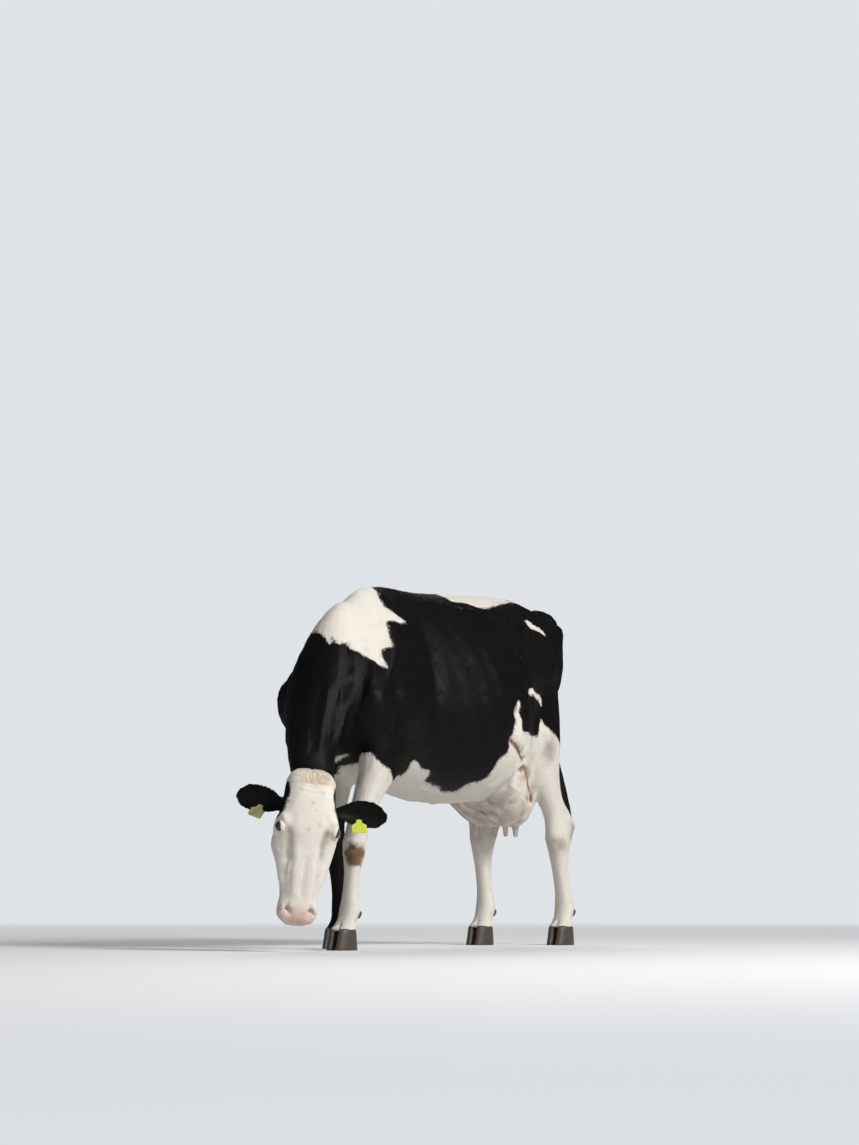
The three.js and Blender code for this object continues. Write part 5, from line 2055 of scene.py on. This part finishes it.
        normals = self.skin.surface.normals()
        roots = {
            "at": at(points),
            "normal": unit(at(normals)),
            "flow": at(self.lie.flow),
            "length": at(self.lie.length),
            "width": at(self.lie.width),
            "lift": at(self.lie.lift),
            "uv": np.einsum("ij,ijk->ik", share, uvs[face]),
            "switch": at(self.skin.parts["tail_switch"]),
            "head": at(self.skin.parts["head"] + self.skin.parts["jaw"]),
            "ears": at(self.skin.parts["ear_left"] + self.skin.parts["ear_right"]),
            "lie": at(self.values["lie"]),
        }
        parts = {name: at(share) for name, share in self.skin.parts.items()}
        roots |= Markings(roots["at"], parts).all()
        return roots

    def _laid(self, at: Array, heights: Array) -> Array:
        """Lays places on the skin.

        Args:
            at: the places.
            heights: how far over the skin each has to be.

        Returns:
            The same places, each at its height over the nearest skin.
        """
        out = np.empty_like(at)
        for i, (point, height) in enumerate(zip(at.tolist(), heights.tolist())):
            spot, normal, _, _ = self.tree.find_nearest(point)
            out[i] = spot + normal * height
        return out

    def _region(self, roots: dict[str, Array]) -> Array:
        """Which region's piece each tuft goes into.

        Args:
            roots: everything known at the roots.

        Returns:
            A place in REGIONS for each root.
        """
        left = roots["at"][:, 0] > 0
        order = np.where(left, 0, 1)
        rear = roots["at"][:, 1] > 0.35
        order = np.where(rear, np.where(left, 2, 3), order)
        is_head = (roots["head"] + roots["ears"]) > 0.5
        return np.where(is_head, 4, order)

    def _grow(
        self, name: str, roots: dict[str, Array], chosen: Array, material: Material
    ) -> Object:
        """Makes one piece of the coat: a closed lock at each chosen root.

        Args:
            name: the piece's name.
            roots: everything known at the roots.
            chosen: which of them.
            material: the coat's finish.

        Returns:
            The finished piece.
        """
        rng = np.random.default_rng(SEED + len(chosen) + ord(name[5]))
        r = {key: values[chosen] for key, values in roots.items()}
        n = len(chosen)
        normal = r["normal"]
        flow = unit(r["flow"] - normal * np.sum(r["flow"] * normal, axis=1)[:, None])
        across = np.cross(normal, flow)
        turn = rng.normal(0, 0.13, n) + 0.16 * ripple(r["at"], 0.12, 3)
        turn += rng.normal(0, 0.22, n) * r["cream"]
        flow, across = (
            flow * np.cos(turn)[:, None] + across * np.sin(turn)[:, None],
            across * np.cos(turn)[:, None] - flow * np.sin(turn)[:, None],
        )
        length = r["length"] * rng.uniform(0.7, 1.25, n)
        half = r["width"] * rng.uniform(0.7, 1.2, n) * 0.5
        lift = r["lift"] + rng.normal(0, 0.03, n)
        lift = np.maximum(lift, 0.03) + 0.03 * np.clip(ripple(r["at"], 0.05, 8), 0, 1)
        high = (0.0005 + 0.0004 * rng.random(n)) * (1 + 1.5 * r["cream"])
        lift += 0.07 * r["cream"] * (r["head"] > 0.5) * rng.random(n)
        bend = rng.normal(0, 0.1, n) * length

        def spot(along: float, up: Array, sideways: Array) -> Array:
            """Places along the locks, over the skin and to their sides."""
            run = (length * along)[:, None] * flow
            return r["at"] + run + up[:, None] * normal + sideways[:, None] * across

        raise_mid = length * lift * 0.55
        raise_end = length * lift
        ring = [
            spot(0.42, raise_mid - 0.0006, bend * 0.3 + half),
            spot(0.42, raise_mid - 0.0006, bend * 0.3 - half),
            spot(0.4, raise_mid + high, bend * 0.3),
        ]
        start = spot(-0.1, np.full(n, -0.0016), np.zeros(n))
        middle = spot(0.42, raise_mid, bend * 0.3)
        shift = self._laid(middle, raise_mid) - middle
        ring = [corner + shift for corner in ring]
        end = self._laid(spot(1.0, raise_end, bend), raise_end)
        hangs = r["switch"] > 0.2
        if hangs.any():
            local = hang_down(r["at"][hangs], length[hangs], rng)
            for corner in ring:
                corner[hangs] = local(0.44) + (corner - middle - shift)[hangs]
            end[hangs] = local(1.0)
        points = np.stack([start, *ring, end], axis=1)
        mesh = tuft_mesh(name, points, TUFT)
        patch = np.array(((-1, 0), (0, 1), (0, -1), (0.3, 0), (1, 0))) * 0.0015
        write_uv(mesh, (r["uv"][:, None, :] + patch[None])[:, TUFT.ravel()].reshape(-1, 2))
        ragged = r["white"] + rng.normal(0, 0.0022, n)
        spread(mesh, "white", np.repeat(ragged, 5))
        for key in ("brown", "pink", "cream", "grey", "bare"):
            spread(mesh, key, np.repeat(r[key], 5))
        tone = np.clip(rng.normal(0.42, 0.22, n), 0, 1)
        tips = np.array((-0.25, 0.0, 0.0, 0.1, 0.35))
        spread(mesh, "tone", np.clip(tone[:, None] + tips, 0, 1).ravel())
        spread(mesh, "lie", (points - start[:, None] + r["lie"][:, None]).reshape(-1, 3))
        mesh.materials.append(material)
        soft = np.repeat(normal, 5, axis=0)
        mesh.normals_split_custom_set_from_vertices(blend_normals(mesh, soft, 0.78).tolist())
        return link(name, mesh)


TAIL_AXIS = (
    # height, then across and behind the withers
    (0.43, 0.08, 1.295), (0.516, 0.071, 1.288), (0.56, 0.065, 1.284), (0.62, 0.054, 1.276),
    (0.7, 0.042, 1.266), (0.78, 0.031, 1.256), (0.86, 0.023, 1.25), (1.1, 0.01, 1.246),
)


def hang_down(roots: Array, length: Array, rng: np.random.Generator) -> Callable[[float], Array]:
    """Curved locks that follow the tail's axis and close in towards its tip.

    Args:
        roots: where the locks begin.
        length: how long they are.
        rng: the source of their unevenness.

    Returns:
        A function from a share of the length to the locks' places there.
    """
    heights, across, behind = np.array(TAIL_AXIS).T

    def axis(height: Array) -> Array:
        """The tail's middle at each height."""
        x = np.interp(height, heights, across)
        y = np.interp(height, heights, behind) + WITHERS_Y
        return np.column_stack((x, y, height))

    low = 0.45 + 0.05 * rng.random(len(roots))
    aside = roots - axis(roots[:, 2])
    close = rng.uniform(0.55, 1.0, len(roots))

    def at(share: float) -> Array:
        """The locks' places at a share of their length."""
        height = np.maximum(roots[:, 2] - length * share, low + 0.02 * (1 - share))
        spread_out = 1.0 + 0.12 * math.sin(math.pi * share) - (1 - close) * share
        return axis(height) + aside * spread_out[:, None]

    return at


def tuft_mesh(name: str, points: Array, faces: Array) -> Mesh:
    """A mesh of many copies of one small shape.

    Args:
        name: the mesh's name.
        points: for each tuft, the places of the shape's corners.
        faces: the shape's triangles.

    Returns:
        The mesh, shaded smooth.
    """
    count, corners = points.shape[:2]
    mesh = bpy.data.meshes.new(name)
    mesh.vertices.add(count * corners)
    mesh.vertices.foreach_set("co", points.astype(np.float32).ravel())
    loops = (faces[None] + (np.arange(count) * corners)[:, None, None]).ravel().astype(np.int32)
    mesh.loops.add(len(loops))
    mesh.loops.foreach_set("vertex_index", loops)
    total = count * len(faces)
    mesh.polygons.add(total)
    mesh.polygons.foreach_set("loop_start", np.arange(0, total * 3, 3, dtype=np.int32))
    shade_smooth(mesh)
    mesh.update(calc_edges=True)
    return mesh


def write_uv(mesh: Mesh, uvs: Array) -> None:
    """Gives a mesh its bake layout.

    Args:
        mesh: the mesh.
        uvs: one place for each face corner.
    """
    layer = mesh.uv_layers.new(name="OFBake")
    layer.data.foreach_set("uv", np.clip(uvs, 0, 1).astype(np.float32).ravel())


def blend_normals(mesh: Mesh, others: Array, share: float) -> Array:
    """The mesh's own vertex normals, turned part of the way to others."""
    own = np.empty(len(mesh.vertices) * 3, np.float32)
    mesh.vertex_normals.foreach_get("vector", own)
    return unit(own.reshape(-1, 3) * (1 - share) + others * share)


# ---- Eyes, claws and tags


@dataclass
class Eyeball:
    """A glossy ball with a dark iris and a pupil that lies along the lids."""

    eye: EyeFrame

    def build(
        self, material: Material, rim: Material
    ) -> list[Object]:
        """Makes the ball and the wet edge of the lids.

        Args:
            material: the ball's finish.
            rim: that of the lids' edge.

        Returns:
            The two pieces.
        """
        name = f"eye_{self.eye.side.name.lower()}"
        ball = bmesh.new()
        bmesh.ops.create_uvsphere(ball, u_segments=48, v_segments=32, radius=self.eye.radius)
        mesh = finished(ball, name + "_ball")
        points = read_points(mesh)
        x, y, z = points.T
        cornea = bell(np.hypot(x, y) / 0.014) * (z > 0)
        spread(mesh, "grow", np.where(z > 0, np.hypot(x / 0.0085, y / 0.0048), 9.0))
        points = points * (1 + 0.05 * cornea)[:, None]
        write_points(mesh, self.eye.centre() + points @ self.eye.basis().T)
        if np.linalg.det(self.eye.basis()) < 0:
            mesh.flip_normals()
        shade_smooth(mesh)
        mesh.materials.append(material)
        shown = link(name + "_ball", mesh)
        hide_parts(name)
        return [shown, self._rim(name + "_rim", rim)]

    def _rim(self, name: str, material: Material) -> Object:
        """The lids' edge, a thin ring round the slit.

        Args:
            name: the piece's name.
            material: its finish.

        Returns:
            The piece.
        """
        quarter = math.pi / 2
        turned = Matrix.Rotation(quarter, 4, "X") @ Matrix.Rotation(quarter, 4, "Z")
        ring = bmesh.new()
        bmesh.ops.create_circle(
            ring, segments=6, radius=0.2, matrix=Matrix.Translation((1, 0, 0)) @ turned
        )
        bmesh.ops.spin(
            ring, geom=[*ring.verts, *ring.edges], cent=(0, 0, 0), axis=(0, 0, 1),
            angle=2 * math.pi, steps=56, use_merge=True,
        )
        for vert in ring.verts:
            angle = math.atan2(vert.co.y, vert.co.x)
            turn = math.atan2(vert.co.z, math.hypot(vert.co.x, vert.co.y) - 1)
            middle = self.eye.rim(angle)
            outward = unit(middle - self.eye.centre())
            aside = unit(self.eye.rim(angle, 0.002) - middle)
            vert.co = middle + outward * 0.0009 * math.sin(turn) + aside * 0.0022 * math.cos(turn)
        bmesh.ops.recalc_face_normals(ring, faces=ring.faces)
        mesh = finished(ring, name)
        shade_smooth(mesh)
        mesh.materials.append(material)
        return link(name, mesh)


def eye_material() -> Material:
    """The eye: a black pupil in a dark brown iris under a wet cornea.

    Returns:
        The material.
    """
    tree = Tree.named(EYE_FINISH.name)
    ring = tree.read("grow")
    iris = tree.mix(ring.rise(0.92, 1.08), PUPIL, EYE_FINISH.other)
    return tree.surface(
        Base_Color=tree.mix(ring.rise(1.6, 2.1), iris, EYE_FINISH.base),
        Roughness=EYE_FINISH.roughness,
        Coat_Weight=EYE_FINISH.coat,
        Coat_Roughness=0.03,
        Specular_IOR_Level=0.3,
    )


@dataclass(frozen=True)
class Claw:
    """A rounded claw or dewclaw of dark horn that stands for its CAD node."""

    node: str
    sole: float = 0.02
    top: float = 0.06
    rise: float = 0.01
    forward: float = 0.008

    @property
    def is_dewclaw(self) -> bool:
        """Whether this is one of the two small claws behind."""
        return self.node.startswith("dewclaw")

    def build(self, material: Material) -> Object:
        """Makes the claw; its top is drawn up under the skin, a dewclaw forward into it.

        Args:
            material: the horn.

        Returns:
            The piece.
        """
        horn = creased(self.node, self._crease)
        for vert in horn.verts:
            if self.is_dewclaw:
                vert.co.y -= self.forward
            elif vert.co.z > self.top:
                vert.co.z += self.rise
        mesh = subdivided(horn, self.node + "_horn")
        points = read_points(mesh)
        spread(mesh, "grow", points[:, 2] + 0.35 * (points[:, 1] - points[:, 1].min()))
        shade_smooth(mesh)
        mesh.materials.clear()
        mesh.materials.append(material)
        shown = link(self.node + "_horn", mesh)
        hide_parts(self.node)
        return shown

    def _crease(self, edge: bmesh.types.BMEdge) -> float:
        """How sharp an edge stays: only the sole's is."""
        if self.is_dewclaw or edge.calc_face_angle() <= math.radians(60):
            return 0.0
        return 0.85 if max(vert.co.z for vert in edge.verts) < self.sole else 0.25


@dataclass(frozen=True)
class EarTag:
    """An ear tag with softened edges that stands for its CAD node."""

    node: str
    edge: float = 0.0005

    def build(self, material: Material) -> Object:
        """Makes the tag.

        Args:
            material: the plastic.

        Returns:
            The piece.
        """
        tag = merged(self.node)
        bmesh.ops.dissolve_limit(
            tag, angle_limit=math.radians(3), verts=tag.verts, edges=tag.edges
        )
        sharp = [e for e in tag.edges if len(e.link_faces) == 2 and e.calc_face_angle() > 0.6]
        bmesh.ops.bevel(
            tag, geom=sharp, offset=self.edge, offset_type="OFFSET", segments=2, profile=0.5,
            affect="EDGES", material=-1,
        )
        bmesh.ops.triangulate(tag, faces=tag.faces)
        mesh = finished(tag, self.node + "_flag")
        mesh.materials.append(material)
        shown = link(self.node + "_flag", mesh)
        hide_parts(self.node)
        return shown


# ---- Studio


@dataclass(frozen=True)
class Lamp:
    """A soft area light that points at the cow."""

    name: str
    at: Point
    size: float
    power: float

    def build(self) -> None:
        """Hangs the lamp."""
        data = bpy.data.lights.new(self.name, "AREA")
        data.size = self.size
        data.energy = self.power
        thing = bpy.data.objects.new(self.name, data)
        thing.location = self.at
        aim = Vector((0, 0, 0.8)) - Vector(self.at)
        thing.rotation_euler = aim.to_track_quat("-Z", "Y").to_euler()
        bpy.context.scene.collection.objects.link(thing)


@dataclass(frozen=True)
class Studio:
    """A pale floor, a pale world, soft lamps and the camera."""

    lamps: tuple[Lamp, ...] = (
        Lamp("key", (8.4, -1.6, 6.2), 2.6, 980.0),
        Lamp("fill", (0.5, -9.0, 4.0), 4.0, 60.0),
        Lamp("back", (-4.0, 5.0, 6.5), 4.0, 200.0),
    )
    ambient: float = 0.2
    sky: Tint = Tint(0.74, 0.77, 0.8)
    sky_light: Tint = Tint(0.9, 0.95, 1.0)
    camera_at: Point = (7.267, -10.674, 0.22)
    facing: Flat = (-0.5592, 0.829)
    pitch: float = math.radians(5.79)
    lens: float = 99.4

    def build(self) -> None:
        """Sets everything up."""
        self._floor()
        self._world()
        for lamp in self.lamps:
            lamp.build()
        self._camera()
        bpy.context.scene.view_settings.view_transform = "Standard"

    def _floor(self) -> None:
        """A wide, pale floor that passes into the sky far from the cow."""
        plane = bmesh.new()
        bmesh.ops.create_grid(plane, x_segments=1, y_segments=1, size=60.0)
        mesh = finished(plane, "floor")
        tree = Tree.named(FLOOR.name)
        near = tree.principled(Base_Color=FLOOR.base, Roughness=FLOOR.roughness)
        away = tree.node("ShaderNodeVectorMath", {"operation": "LENGTH"}, tree.place(), out="Value")
        far = tree.node("ShaderNodeEmission", {}, self.sky)
        mix = tree.node("ShaderNodeMixShader", {}, away.rise(2.5, 12.0), near, far)
        mesh.materials.append(tree.end(mix))
        link("floor", mesh)

    def _world(self) -> None:
        """A soft, even sky that looks pale to the camera."""
        tree = Tree(bpy.data.worlds.new("sky"))
        seen = tree.node("ShaderNodeBackground", {}, self.sky, 1.0)
        light = tree.node("ShaderNodeBackground", {}, self.sky_light, self.ambient)
        is_seen = tree.node("ShaderNodeLightPath", {}, out="Is Camera Ray")
        mix = tree.node("ShaderNodeMixShader", {}, is_seen, light, seen)
        bpy.context.scene.world = tree.end(mix)

    def _camera(self) -> None:
        """The camera, low and to the front left."""
        data = bpy.data.cameras.new("camera")
        data.sensor_fit = "VERTICAL"
        data.sensor_height = 36.0
        data.lens = self.lens
        data.clip_end = 200.0
        thing = bpy.data.objects.new("camera", data)
        thing.location = self.camera_at
        level = math.cos(self.pitch)
        aim = Vector((self.facing[0] * level, self.facing[1] * level, math.sin(self.pitch)))
        thing.rotation_euler = aim.to_track_quat("-Z", "Y").to_euler()
        bpy.context.scene.collection.objects.link(thing)
        bpy.context.scene.camera = thing


# ---- The animal


@dataclass(frozen=True)
class Quality:
    """How fine the skin and how full the coat."""

    voxel: float
    faces: int
    tufts: int


FULL = Quality(0.004, 138000, 220000)


def main() -> None:
    """Builds the cow and the studio round it."""
    logging.basicConfig(level=logging.INFO, format="%(name)s: %(message)s")
    quality = FULL
    skin = Skin(quality.voxel, quality.faces)
    hide = skin.build()
    coat = Coat(skin, hide, quality.tufts)
    hide.data.materials.append(coat_material("hide", is_tuft=False))
    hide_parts(*FLESH)
    pieces = [hide, *coat.build(coat_material("tufts", is_tuft=True))]
    eye_look, rim_look = eye_material(), solid_material(LID_RIM)
    for eye in EYES:
        pieces += Eyeball(eye).build(eye_look, rim_look)
    horn = solid_material(CLAW_HORN)
    pieces += [Claw(node).build(horn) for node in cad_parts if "claw" in node]
    pieces.append(EarTag("tag_left").build(solid_material(TAG_PLASTIC)))
    # The right tag is darkened with painted shade
    pieces.append(EarTag("tag_right").build(solid_material(TAG_PAINTED_SHADE)))
    for piece in pieces:
        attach(piece, BODY)
        log.info("%s: %d faces", piece.name, len(piece.data.polygons))
    Studio().build()


if __name__ == "__main__":
    main()
